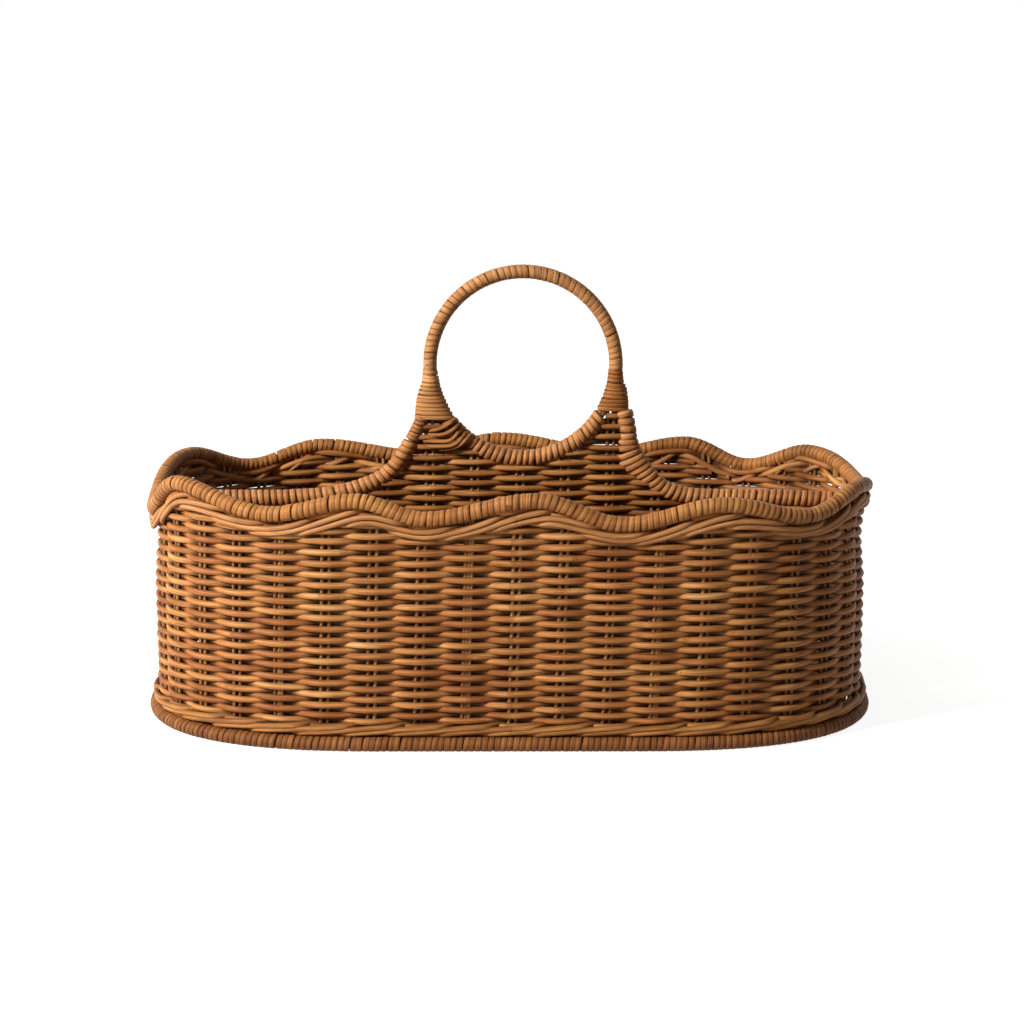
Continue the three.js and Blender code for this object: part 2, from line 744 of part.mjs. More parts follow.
// Points under the binding of the ring's lower part, from left to right.
function underCradle() {
  const points = [];
  for (let j = 0; j <= cradleSteps; j += 1) {
    const swing = cradleHalfAngle * (2 * j / cradleSteps - 1);
    const angle = THREE.MathUtils.degToRad(-90 + swing);
    const reach = ringRadius + cradleRadius + gap;
    points.push([ringX + reach * Math.cos(angle), ringZ + reach * Math.sin(angle)]);
  }
  return points;
}

// Height of the divider's weave at x, on its outline of points that run from left to right.
function heightOn(outline, x) {
  const k = outline.findIndex((p, i) => i > 0 && p[0] >= x);
  const [a, b] = [outline[k - 1], outline[k]];
  return a[1] + (b[1] - a[1]) * (x - a[0]) / (b[0] - a[0]);
}

// The woven divider with its own stakes.
function buildDivider() {
  const bottom = baseTop + gap;
  const tip = (shape) => [shape[0][0] - tipDrop, shape[0][1] - gap];
  const top = [
    ...underEdge(leftTrack, leftEdgeBoundTo, -dividerEnd), tip(leftLashing), ...underCradle(),
    tip(rightLashing), ...underEdge(rightTrack, rightEdgeBoundTo, dividerEnd).reverse(),
  ];
  const corners = [[-dividerEnd, bottom], [dividerEnd, bottom], ...top.slice().reverse()];
  const outline = new THREE.Shape(corners.map(([x, z]) => new THREE.Vector2(x, z)));
  const halfDepth = dividerThickness / 2 + weaveBulge;
  const panel = new THREE.ExtrudeGeometry(
    outline, { depth: 2 * halfDepth, bevelEnabled: false },
  );
  panel.rotateX(Math.PI / 2);
  panel.translate(0, halfDepth, 0);
  const wide = new THREE.Vector3(1, 0, 0);
  const stake = (k, grow) => {
    const x = dividerStakeMiddle + k * dividerStakePitch;
    const reach = stakePairWidth / 2 + gap;
    const under = Math.min(heightOn(top, x - reach), heightOn(top, x), heightOn(top, x + reach));
    const foot = grow > 0 ? bottom - gap : bottom;
    return stakePair([
      { point: new THREE.Vector3(x, 0, under - stakeTopCover + grow), wide, thick: acrossDivider },
      { point: new THREE.Vector3(x, 0, foot), wide, thick: acrossDivider },
    ], grow);
  };
  const channels = [];
  for (let k = -dividerStakesEachSide; k <= dividerStakesEachSide; k += 1) {
    channels.push(stake(k, gap));
    add(`divider_stakes_${k + dividerStakesEachSide + 1}`, stake(k, 0), 'stake');
  }
  const woven = geometryOf(solid(panel).intersect(solid(dividerRelief())));
  add('divider_weave', cut(woven, ...channels), 'weave');
}

// A tall block as thick as the divider's weave: upright bulges over its stakes on both faces.
function dividerRelief() {
  const halfPitch = dividerStakePitch / 2;
  const reach = Math.ceil(wallHalfLength / halfPitch) + 1;
  const front = [];
  for (let k = -reach; k <= reach; k += 1) {
    const face = dividerThickness / 2 + reliefAt(k);
    front.push(new THREE.Vector2(dividerStakeMiddle + k * halfPitch, -face));
  }
  const back = front.map((p) => new THREE.Vector2(p.x, -p.y)).reverse();
  return new THREE.ExtrudeGeometry(
    new THREE.Shape([...front, ...back]), { depth: ringZ, bevelEnabled: false },
  );
}

buildFoot();
buildWall();
buildRim();
buildDivider();
buildEdge('left', leftEdge, leftEdgeBoundTo, leftLashing);
buildEdge('right', rightEdge, rightEdgeBoundTo, rightLashing);
buildHandle();

export default basket;
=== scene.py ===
import math

import bpy
import numpy as np
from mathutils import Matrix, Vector


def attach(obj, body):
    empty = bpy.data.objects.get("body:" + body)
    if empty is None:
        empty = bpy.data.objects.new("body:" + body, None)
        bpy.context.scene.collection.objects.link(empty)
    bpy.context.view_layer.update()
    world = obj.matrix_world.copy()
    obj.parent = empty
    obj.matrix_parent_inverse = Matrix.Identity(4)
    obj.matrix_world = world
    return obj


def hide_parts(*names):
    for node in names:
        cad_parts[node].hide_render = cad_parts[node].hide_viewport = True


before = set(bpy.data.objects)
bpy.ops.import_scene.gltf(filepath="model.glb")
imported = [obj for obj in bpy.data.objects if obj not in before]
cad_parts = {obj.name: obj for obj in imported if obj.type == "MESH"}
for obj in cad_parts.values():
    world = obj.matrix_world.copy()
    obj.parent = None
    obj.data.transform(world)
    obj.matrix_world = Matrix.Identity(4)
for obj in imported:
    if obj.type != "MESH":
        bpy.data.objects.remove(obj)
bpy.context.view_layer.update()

# Camera: a long lens straight in front, a little above the rim and looking down into the basket,
# so that both long rims and the divider's edge show.
def placed(name, data):
    """A new object in the scene, at its middle."""
    made = bpy.data.objects.new(name, data)
    bpy.context.scene.collection.objects.link(made)
    return made


def aim(made, place, point):
    """Puts a camera or a lamp in its place, turned towards a point."""
    made.location = place
    made.rotation_euler = (Vector(point) - Vector(place)).to_track_quat("-Z", "Y").to_euler()


camera_data = bpy.data.cameras.new("camera")
camera_data.lens = 70.84
camera_data.sensor_width = 36
camera = placed("camera", camera_data)
aim(camera, (0, -1.151, 0.346), (0.0014, 0, 0.1122))
bpy.context.scene.camera = camera
bpy.context.scene.view_settings.view_transform = "Standard"


# Light: one broad lamp from the left, low enough for the left end to shade the inside, a weak one
# from the right, and a dim room. The room is white to the camera and in what shines.
def lamp(name, place, point, size, power):
    """A round lamp that shines towards a point."""
    data = bpy.data.lights.new(name, "AREA")
    data.shape = "DISK"
    data.size = size
    data.energy = power
    aim(placed(name, data), place, point)


lamp("window_lamp", (-1.67, -0.95, 1.16), (0.02, 0, 0.1), 0.42, 78)
lamp("fill_lamp", (1.5, -1.7, 0.7), (0, 0, 0.1), 1.2, 1.2)


def fill(tree, node, into):
    """Fills a node's inputs from sockets or plain values."""
    for name, source in into.items():
        if isinstance(source, bpy.types.NodeSocket):
            tree.links.new(source, node.inputs[name])
        else:
            node.inputs[name].default_value = source


def join(tree, kind, into=None, **settings):
    """Adds a node with its settings, and fills its inputs."""
    made = tree.nodes.new(kind)
    for name, value in settings.items():
        setattr(made, name, value)
    fill(tree, made, into or {})
    return made


def put(tree, kind, into=None, **settings):
    """Adds a node and gives its first result."""
    return join(tree, kind, into, **settings).outputs[0]


def maths(tree, operation, first, second=0.0, third=0.0):
    """One step of arithmetic on sockets or plain values."""
    into = {0: first, 1: second}
    if operation == "MULTIPLY_ADD":
        into[2] = third
    return put(tree, "ShaderNodeMath", into, operation=operation)


def times(tree, first, second):
    """One value times another."""
    return maths(tree, "MULTIPLY", first, second)


def seen(tree):
    """1 for what is seen, straight, in a shine or through glass, and 0 for what only lights."""
    ray = join(tree, "ShaderNodeLightPath").outputs
    total = ray["Is Camera Ray"]
    for kind in ("Is Glossy Ray", "Is Transmission Ray"):
        total = put(tree, "ShaderNodeMath", {0: total, 1: ray[kind]}, use_clamp=True)
    return total


room = bpy.data.worlds.new("room")
room.use_nodes = True
bpy.context.scene.world = room
room_tree = room.node_tree
room_tree.nodes.clear()
dim_room = put(room_tree, "ShaderNodeBackground", {"Color": (1, 0.97, 0.93, 1), "Strength": 0.06})
white_room = put(room_tree, "ShaderNodeBackground", {"Color": (1, 1, 1, 1), "Strength": 1})
room_choice = put(
    room_tree, "ShaderNodeMixShader", {0: seen(room_tree), 1: dim_room, 2: white_room})
join(room_tree, "ShaderNodeOutputWorld", {"Surface": room_choice})

# Floor: a pale matt sheet that the basket stands on. To the camera it glows almost to white near
# the basket and fully further off, so only a faint shadow is left beside the foot. In a patch the
# shape of the basket's footprint it doesn't glow, a painted shadow that stays dark behind the
# gaps of the base.
def ranged(tree, value, least, most, for_least, for_most):
    """A value from least to most, brought evenly into another range and kept in it."""
    return put(tree, "ShaderNodeMapRange", {
        0: value, 1: least, 2: most, 3: for_least, 4: for_most})


def ways(tree, operation, first, second):
    """One step of arithmetic on two ways or places."""
    return put(tree, "ShaderNodeVectorMath", {0: first, 1: second}, operation=operation)


def new_finish(name):
    """A new finish and its tree."""
    made = bpy.data.materials.new(name)
    made.use_nodes = True
    return made, made.node_tree


floor_half = 4.0
glow_starts, glow_full = 0.21, 0.36  # distances from the middle of the basket
glow_near, glow_far = 0.91, 1.0
shadow_patch_half_x, shadow_patch_half_y = 0.195, 0.095  # half the length and depth of the floor under the basket
floor_mesh = bpy.data.meshes.new("floor")
floor_corners = [
    (x * floor_half, y * floor_half, 0) for x, y in ((-1, -1), (1, -1), (1, 1), (-1, 1))]
floor_mesh.from_pydata(floor_corners, [], [(0, 1, 2, 3)])
floor = placed("floor", floor_mesh)
floor_finish, floor_tree = new_finish("pale floor")
floor_tree.nodes.clear()
floor_there = join(floor_tree, "ShaderNodeTexCoord").outputs["Object"]
floor_distance = join(floor_tree, "ShaderNodeVectorMath", {0: floor_there}, operation="LENGTH")
floor_glow = ranged(
    floor_tree, floor_distance.outputs["Value"], glow_starts, glow_full, glow_near, glow_far)
# Painted shadow: the glow is left out inside the basket's footprint.
floor_share = ways(floor_tree, "MULTIPLY", floor_there, (1 / shadow_patch_half_x, 1 / shadow_patch_half_y, 0))
floor_squares = ways(floor_tree, "MULTIPLY", floor_share, floor_share)
floor_fourths = join(floor_tree, "ShaderNodeVectorMath", {
    0: floor_squares, 1: floor_squares}, operation="DOT_PRODUCT").outputs["Value"]
floor_outside_shadow_patch = maths(floor_tree, "GREATER_THAN", floor_fourths, 1)
floor_glow_outside_shadow_patch = times(floor_tree, floor_outside_shadow_patch, floor_glow)
floor_light = put(floor_tree, "ShaderNodeEmission", {
    "Strength": times(floor_tree, seen(floor_tree), floor_glow_outside_shadow_patch)})
floor_paint = put(floor_tree, "ShaderNodeBsdfDiffuse", {"Color": (0.5, 0.49, 0.48, 1)})
floor_both = put(floor_tree, "ShaderNodeAddShader", {0: floor_paint, 1: floor_light})
join(floor_tree, "ShaderNodeOutputMaterial", {"Surface": floor_both})
floor_mesh.materials.append(floor_finish)


# Foot ring: a hoop of thin rods with split cane wound close round it. It carries the basket and
# is worn flat where it stands. The hoop inside is the fixed frame's own piece.
def plan_quarter(half_length, half_width, straight_half, fullness):
    """Points of a quarter of the wall's plan, from the middle of the front to the right end."""
    swing = np.linspace(0, math.pi / 2, 1201)
    reach = half_length - straight_half
    x = straight_half + reach * np.sin(swing) ** (2 / fullness)
    y = -half_width * np.cos(swing) ** (2 / fullness)
    return np.column_stack([np.r_[0, x], np.r_[-half_width, y]])


plan_half_length, plan_half_width = 0.2022, 0.098
plan_straight, plan_fullness = 0.069, 2.46
plan_corner = plan_quarter(plan_half_length, plan_half_width, plan_straight, plan_fullness)
plan_runs = np.r_[0, np.cumsum(np.hypot(*np.diff(plan_corner, axis=0).T))]
plan_length = 4 * plan_runs[-1]


def on_plan(turn):
    """Places on the middle of the wall's plan, at z = 0, and the outward ways there. Turn 0 is
    the middle of the front, and turns grow towards +X."""
    around = np.asarray(turn, float) % 1 * 4
    side = np.floor(around).astype(int)
    run = np.where(side % 2 == 0, around - side, side + 1 - around) * plan_runs[-1]
    x = np.interp(run, plan_runs, plan_corner[:, 0])
    y = np.interp(run, plan_runs, plan_corner[:, 1])
    reach = plan_half_length - plan_straight
    slope_x = np.maximum(0, x - plan_straight) ** (plan_fullness - 1) / reach ** plan_fullness
    slope_y = np.abs(y) ** (plan_fullness - 1) / plan_half_width ** plan_fullness
    size = np.hypot(slope_x, slope_y)
    right = np.where(side < 2, 1, -1)
    back = np.where((side == 0) | (side == 3), -1, 1)
    flat = np.zeros_like(x)
    places = np.stack([right * x, back * np.abs(y), flat], -1)
    outward = np.stack([right * slope_x / size, back * slope_y / size, flat], -1)
    return places, outward


def scaled(tree, vector, factor):
    """A way made longer or shorter."""
    return put(tree, "ShaderNodeVectorMath", {0: vector, "Scale": factor}, operation="SCALE")


def kept(tree, name, kind="FLOAT"):
    """A value that was stored on the points under a name."""
    return put(tree, "GeometryNodeInputNamedAttribute", {"Name": name}, data_type=kind)


def keep(tree, geometry, name, value, kind="FLOAT"):
    """Stores a value on the points under a name."""
    return put(
        tree, "GeometryNodeStoreNamedAttribute",
        {"Geometry": geometry, "Name": name, "Value": value}, data_type=kind, domain="POINT")


def tree_with(name, own_inputs):
    """A new tree from geometry to geometry, with inputs of its own and those of every cane."""
    tree = bpy.data.node_groups.new(name, "GeometryNodeTree")
    tree.interface.new_socket("Geometry", in_out="INPUT", socket_type="NodeSocketGeometry")
    cane_inputs = {
        "Cane width": "Float", "Cane thickness": "Float", "Sides": "Int", "Squareness": "Float",
        "Seed": "Int", "Material": "Material"}
    for label, kind in (own_inputs | cane_inputs).items():
        tree.interface.new_socket(label, in_out="INPUT", socket_type="NodeSocket" + kind)
    tree.interface.new_socket("Geometry", in_out="OUTPUT", socket_type="NodeSocketGeometry")
    return tree, tree.nodes.new("NodeGroupInput").outputs


def skinned(tree, curve, inlet):
    """Ends a tree: gives the curve a cane's section, set by its outward way. Squareness turns
    the oval of round cane into the flat face and rounded flanks of split cane."""
    circle = put(tree, "GeometryNodeCurvePrimitiveCircle", {
        "Resolution": inlet["Sides"], "Radius": 1}, mode="RADIUS")
    spot = put(tree, "GeometryNodeInputPosition")
    section = keep(tree, circle, "around", spot, "FLOAT_VECTOR")
    parts = join(tree, "ShaderNodeSeparateXYZ", {0: spot}).outputs
    fourths = maths(
        tree, "ADD", maths(tree, "POWER", parts[0], 4), maths(tree, "POWER", parts[1], 4))
    fuller = maths(tree, "SUBTRACT", maths(tree, "POWER", fourths, -0.25), 1)
    spot = scaled(tree, spot, maths(tree, "MULTIPLY_ADD", fuller, inlet["Squareness"], 1))
    halves = put(tree, "ShaderNodeCombineXYZ", {
        "X": times(tree, inlet["Cane thickness"], 0.5),
        "Y": times(tree, inlet["Cane width"], 0.5)})
    oval = ways(tree, "MULTIPLY", spot, halves)
    section = put(tree, "GeometryNodeSetPosition", {"Geometry": section, "Position": oval})
    facing = put(
        tree, "GeometryNodeSetCurveNormal",
        {"Curve": curve, "Normal": kept(tree, "outward", "FLOAT_VECTOR")}, mode="FREE")
    run = join(tree, "GeometryNodeSplineParameter").outputs["Length"]
    measured = keep(tree, facing, "along", run)
    skin = put(tree, "GeometryNodeCurveToMesh", {
        "Curve": measured, "Profile Curve": section, "Scale": kept(tree, "size"),
        "Fill Caps": True})
    smooth = put(tree, "GeometryNodeSetShadeSmooth", {"Geometry": skin})
    real = put(tree, "GeometryNodeRealizeInstances", {"Geometry": smooth})
    painted = put(
        tree, "GeometryNodeSetMaterial", {"Geometry": real, "Material": inlet["Material"]})
    tree.links.new(painted, tree.nodes.new("NodeGroupOutput").inputs[0])


def winding_tree():
    """Cane wound round a path. At each point of the path, side and up are the ways to the
    winding's middle line, as long as its distance from the path."""
    tree, inlet = tree_with("cane wound round a rod", {
        "Turns": "Int", "Steps a turn": "Int", "Unevenness": "Float"})
    path = put(tree, "GeometryNodeMeshToCurve", {"Mesh": inlet["Geometry"]})
    steps = times(tree, inlet["Turns"], inlet["Steps a turn"])
    line = put(
        tree, "GeometryNodeMeshLine", {"Count": maths(tree, "ADD", steps, 1)}, mode="OFFSET")
    index = put(tree, "GeometryNodeInputIndex")
    turn = maths(tree, "DIVIDE", index, inlet["Steps a turn"])
    seed = times(tree, inlet["Seed"], 17.3)  # seeds lie far apart along the noise

    def drift(pace, start, most):
        """A slow swing from turn to turn, as the hand gives it."""
        place = maths(tree, "MULTIPLY_ADD", turn, pace, maths(tree, "ADD", seed, start))
        noise = put(
            tree, "ShaderNodeTexNoise", {"W": place, "Scale": 1, "Detail": 1},
            noise_dimensions="1D")
        swing = maths(tree, "SUBTRACT", noise, 0.5)
        return times(tree, times(tree, swing, inlet["Unevenness"]), most)

    shifted = maths(tree, "ADD", turn, drift(0.83, 0, most=1.6))
    share = maths(tree, "DIVIDE", shifted, inlet["Turns"])
    angle = times(tree, turn, 2 * math.pi)

    def sampled(label):
        """The path's place where the turn is, and its value there."""
        return join(tree, "GeometryNodeSampleCurve", {
            "Curves": path, "Factor": share, "Value": kept(tree, label, "FLOAT_VECTOR")},
            mode="FACTOR", data_type="FLOAT_VECTOR", use_all_curves=True).outputs

    beside, above = sampled("side"), sampled("up")
    side = scaled(tree, beside["Value"], maths(tree, "COSINE", angle))
    up = scaled(tree, above["Value"], maths(tree, "SINE", angle))
    reach = ways(tree, "ADD", side, up)
    looser = maths(tree, "ADD", 1, drift(0.61, 40, most=0.16))
    place = ways(tree, "ADD", beside["Position"], scaled(tree, reach, looser))
    coil = keep(tree, line, "outward", reach, "FLOAT_VECTOR")
    coil = put(tree, "GeometryNodeSetPosition", {"Geometry": coil, "Position": place})
    number = maths(tree, "FLOOR", maths(tree, "ADD", turn, 0.25))  # changes at the underside
    lot = put(
        tree, "ShaderNodeTexWhiteNoise", {"W": maths(tree, "ADD", number, seed)},
        noise_dimensions="1D")
    coil = keep(tree, coil, "cane", lot)
    fuller = maths(tree, "ADD", 1, drift(0.47, 90, most=0.3))
    coil = keep(tree, coil, "size", fuller)
    curve = put(tree, "GeometryNodeMeshToCurve", {"Mesh": coil})
    skinned(tree, curve, inlet)
    return tree


def lines_mesh(name, lines, closed, **values):
    """A mesh of edges along lines of points. values hold one array for each line."""
    mesh = bpy.data.meshes.new(name)
    edges = []
    start = 0
    for line, loop in zip(lines, closed):
        count = len(line)
        edges += [(start + i, start + i + 1) for i in range(count - 1)]
        if loop:
            edges.append((start + count - 1, start))
        start += count
    mesh.from_pydata(np.concatenate(lines).tolist(), edges, [])
    for label, arrays in values.items():
        stacked = np.concatenate(arrays).astype(np.float32)
        vector = stacked.ndim == 2
        attribute = mesh.attributes.new(label, "FLOAT_VECTOR" if vector else "FLOAT", "POINT")
        attribute.data.foreach_set("vector" if vector else "value", stacked.ravel())
    return mesh


def made_by(tree, name, mesh, **inputs):
    """Runs a tree on a mesh and returns its result as a plain object at the origin."""
    carrier = placed(name + "_lines", mesh)
    modifier = carrier.modifiers.new("canes", "NODES")
    modifier.node_group = tree
    for item in tree.interface.items_tree:
        label = item.name.lower().replace(" ", "_")
        if item.in_out == "INPUT" and label in inputs:
            modifier[item.identifier] = inputs[label]
    ready = bpy.context.evaluated_depsgraph_get()
    result = bpy.data.meshes.new_from_object(
        carrier.evaluated_get(ready), preserve_all_data_layers=True, depsgraph=ready)
    bpy.data.objects.remove(carrier)
    return placed(name, result)


def wound(name, points, side, up, closed, pitch, finish, **inputs):
    """Cane wound round a line of points, one turn in each pitch of its length. side and up are
    the ways to its middle line, one for each point or one for all."""
    ends = np.vstack([points, points[:1]]) if closed else points
    length = np.linalg.norm(np.diff(ends, axis=0), axis=1).sum()
    side, up = (np.broadcast_to(way, points.shape) for way in (side, up))
    mesh = lines_mesh(name, [points], [closed], side=[side], up=[up])
    turns = round(length / pitch)
    return made_by(winding, name, mesh, turns=turns, material=finish, **inputs)


def cloud(tree, where, scale, detail):
    """Soft noise at a place, about 0.5."""
    return put(tree, "ShaderNodeTexNoise", {"Vector": where, "Scale": scale, "Detail": detail})


def shade(red, green, blue):
    """A colour as it looks on a screen, in 256 steps, as the amounts of light it stands for."""
    def light(value):
        part = value / 255
        return part / 12.92 if part <= 0.04045 else ((part + 0.055) / 1.055) ** 2.4
    return (light(red), light(green), light(blue), 1)


def cane_finish(name, tones, roughness, variety):
    """Dyed and oiled cane. tones go from the darkest canes to the palest, and variety is how far
    one cane differs from the next. Tones drift along a cane, with darker fibres, and with painted
    shade on its two flanks and on its faces that turn into the weave where it passes a stake."""
    drift_pace, patch_pace, fibre_pace, fibres_around = 48, 16, 55, 5.5
    drift_step, fibre_step = 91, 37  # how far apart in the noise the canes lie
    drift_share, patch_share = 0.5, 0.44
    first_stop, stops_span = 0.15, 0.7
    made, tree = new_finish(name)

    def carried(label, output):
        """What the canes were given on their points."""
        return join(tree, "ShaderNodeAttribute", attribute_name=label).outputs[output]

    own = carried("cane", "Fac")
    along = carried("along", "Fac")
    around = carried("around", "Vector")
    across = join(tree, "ShaderNodeSeparateXYZ", {0: around}).outputs
    there = join(tree, "ShaderNodeTexCoord").outputs["Object"]
    length_way = put(tree, "ShaderNodeCombineXYZ", {
        "X": times(tree, along, drift_pace), "Y": times(tree, own, drift_step)})
    drift = cloud(tree, length_way, 1, 2)
    patches = cloud(tree, there, patch_pace, 2)
    tone = maths(tree, "MULTIPLY_ADD", own, variety, 0.5 - variety / 2)
    for noise, share in ((drift, drift_share), (patches, patch_share)):
        tone = maths(tree, "ADD", tone, maths(tree, "MULTIPLY_ADD", noise, share, -share / 2))
    ramp = join(tree, "ShaderNodeValToRGB", {0: tone})
    stops = ramp.color_ramp.elements
    while len(stops) < len(tones):
        stops.new(0.5)
    for k, colour in enumerate(tones):
        stops[k].position = first_stop + stops_span * k / (len(tones) - 1)
        stops[k].color = shade(*colour)
    fibre_way = put(tree, "ShaderNodeCombineXYZ", {
        "X": maths(tree, "MULTIPLY_ADD", along, fibre_pace, times(tree, own, fibre_step)),
        "Y": times(tree, across[0], fibres_around),
        "Z": times(tree, across[1], fibres_around)})
    fibres = cloud(tree, fibre_way, 1, 3)
    streak = ranged(tree, fibres, 0.32, 0.64, 0.48, 1.26)
    # Painted shade: each cane is darker on its two flanks, where it lies against its neighbours,
    # and on its faces that turn into the weave where it passes a stake.
    painted_flank_shade = ranged(tree, maths(tree, "ABSOLUTE", across[1]), 0.45, 1.0, 1.0, 0.44)
    sunk = times(tree, times(tree, carried("wave", "Fac"), across[0]), -1)
    hollow = ranged(tree, sunk, 0.0, 0.6, 1.0, 0.3)
    dark = times(tree, times(tree, streak, painted_flank_shade), hollow)
    shaded = scaled(tree, ramp.outputs[0], dark)
    rough = ranged(tree, fibres, 0.3, 0.7, roughness + 0.12, roughness - 0.05)
    bump = put(tree, "ShaderNodeBump", {"Strength": 0.8, "Distance": 0.0005, "Height": fibres})
    waxed = 0.2  # it shines less than varnish
    fill(tree, tree.nodes["Principled BSDF"], {
        "Base Color": shaded, "Roughness": rough, "Normal": bump, "Specular IOR Level": waxed})
    return made


winding = winding_tree()
binding_finish = cane_finish(
    "binding cane", [(122, 71, 32), (168, 105, 49), (200, 133, 69), (226, 163, 96)], 0.38, 0.16)
foot_finish = cane_finish(
    "foot binding cane", [(92, 49, 20), (128, 74, 32), (153, 95, 47), (176, 118, 64)], 0.55, 0.2)
foot_outset, foot_middle, foot_half_height = 0.004, 0.00415, 0.00415
foot_turns = np.linspace(0, 1, 900, endpoint=False)
foot_places, foot_out = on_plan(foot_turns)
foot_cane_thickness = 0.001
foot_radius = 0.0044 - foot_cane_thickness / 2
foot_line = foot_places + foot_outset * foot_out + (0, 0, foot_middle)
foot_up = (0, 0, foot_half_height - foot_cane_thickness / 2)
foot_binding = wound(
    "foot_binding_cane", foot_line, foot_radius * foot_out, foot_up, True, 0.0034,
    foot_finish, steps_a_turn=12, cane_width=0.0035, cane_thickness=foot_cane_thickness,
    sides=10, squareness=0.7, unevenness=0.26, seed=1)
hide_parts("foot_binding")
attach(foot_binding, "root")


# Bare rods inside the bindings: the hoops of foot and rim and the ring's pole, of peeled rattan,
# dry and unpolished. The bindings cover them, and they show only where turns gape.
rod_finish, rod_tree = new_finish("bare rod")
rod_there = join(rod_tree, "ShaderNodeTexCoord").outputs["Object"]
rod_tone = join(rod_tree, "ShaderNodeMix", {
    "Factor": cloud(rod_tree, rod_there, 900, 3), 6: shade(96, 58, 30), 7: shade(142, 92, 52)},
    data_type="RGBA")
fill(rod_tree, rod_tree.nodes["Principled BSDF"], {
    "Base Color": rod_tone.outputs[2], "Roughness": 0.7})
for rod_name in ("foot_core", "rim_core", "handle_ring"):
    rod_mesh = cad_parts[rod_name].data
    rod_mesh.materials.clear()
    rod_mesh.materials.append(rod_finish)


# Rim's course: ten scallops bent by hand, so each crest and trough has its own place and height.
# It is set here because the stakes and the weave end under it.
rim_marks = np.array([  # turn, and height in millimetres
    (0.014, 138.4), (0.059, 125.6), (0.11, 135.6), (0.159, 126.6), (0.201, 136.6),
    (0.257, 128.4), (0.314, 136.9), (0.357, 124.3), (0.393, 136.5), (0.44, 129.0),
    (0.506, 138.8), (0.554, 127.5), (0.615, 135.3), (0.656, 125.4), (0.702, 137.8),
    (0.776, 120.5), (0.82, 142.0), (0.875, 130.3), (0.921, 138.2), (0.956, 128.5)])
rim_radius, rim_seat = 0.0044, 0.0005


def rim_height(turn):
    """Height of the rim's middle: half a cosine from each crest to each trough."""
    turns = np.r_[rim_marks[-1, 0] - 1, rim_marks[:, 0], rim_marks[0, 0] + 1]
    heights = np.r_[rim_marks[-1, 1], rim_marks[:, 1], rim_marks[0, 1]] / 1000
    here = np.asarray(turn, float) % 1
    k = np.searchsorted(turns, here, side="right") - 1
    share = (here - turns[k]) / (turns[k + 1] - turns[k])
    return heights[k] + (0.5 - 0.5 * np.cos(np.pi * share)) * (heights[k + 1] - heights[k])


def weave_top(turn):
    """Where the rim's binding sits on the weave, square to the rim's slope."""
    run = 0.001
    nudge = run / plan_length
    slope = (rim_height(turn + nudge) - rim_height(turn - nudge)) / (2 * run)
    return rim_height(turn) - (rim_radius + rim_seat) * np.hypot(1, slope)


# Wall stakes: 42 pairs of thin round cane, some with a third, that the wall is woven on. The
# middle ones run down one wall, through the base and up the other; end ones are tucked in.
def weaving_tree():
    """Canes laid along lines. Each goes in front of one stake and behind the next, by its stake
    number and row. depth is how far it stands out in front of a stake."""
    tree, inlet = tree_with("canes laid along lines", {"Depth": "Float", "Wobble": "Float"})
    wobble_scale = 38
    row_step, seed_step = 5.3, 3.7  # how far apart in the noise rows and seeds lie
    outward = kept(tree, "outward", "FLOAT_VECTOR")
    half_turns = maths(tree, "ADD", kept(tree, "stake"), kept(tree, "row"))
    wave = maths(tree, "COSINE", times(tree, half_turns, math.pi))
    over = scaled(tree, outward, times(tree, wave, inlet["Depth"]))
    woven = maths(tree, "GREATER_THAN", inlet["Depth"], 0)
    waved = keep(tree, inlet["Geometry"], "wave", times(tree, wave, woven))
    seed = times(tree, inlet["Seed"], seed_step)
    spot = put(tree, "GeometryNodeInputPosition")
    noise = join(tree, "ShaderNodeTexNoise", {
        "Vector": spot, "W": maths(tree, "MULTIPLY_ADD", kept(tree, "row"), row_step, seed),
        "Scale": wobble_scale, "Detail": 1}, noise_dimensions="4D")
    swing = ways(tree, "SUBTRACT", noise.outputs["Color"], (0.5, 0.5, 0.5))
    offset = ways(tree, "ADD", over, scaled(tree, swing, inlet["Wobble"]))
    moved = put(tree, "GeometryNodeSetPosition", {"Geometry": waved, "Offset": offset})
    curve = put(tree, "GeometryNodeMeshToCurve", {"Mesh": moved})
    skinned(tree, curve, inlet)
    return tree


def laid(name, lines, outward, finish, closed=False, stakes=None, rows=None, sizes=None,
         canes=None, sides=8, **inputs):
    """Canes along lines. outward, stakes, rows, sizes and canes each hold one value or way for a
    line, or one for each of its points. Without depth the canes stay on their lines."""
    chance = np.random.default_rng(inputs["seed"])
    count = len(lines)
    given = {
        "stake": stakes or [0] * count, "row": rows or [0] * count, "size": sizes or [1] * count,
        "cane": canes or [chance.random() for _ in lines]}
    values = {label: [np.broadcast_to(value, len(line)) for value, line in zip(held, lines)]
              for label, held in given.items()}
    values["outward"] = [np.broadcast_to(way, line.shape) for way, line in zip(outward, lines)]
    closed = closed if isinstance(closed, list) else [closed] * count
    mesh = lines_mesh(name, lines, closed, **values)
    return made_by(weaving, name, mesh, material=finish, sides=sides, **inputs)


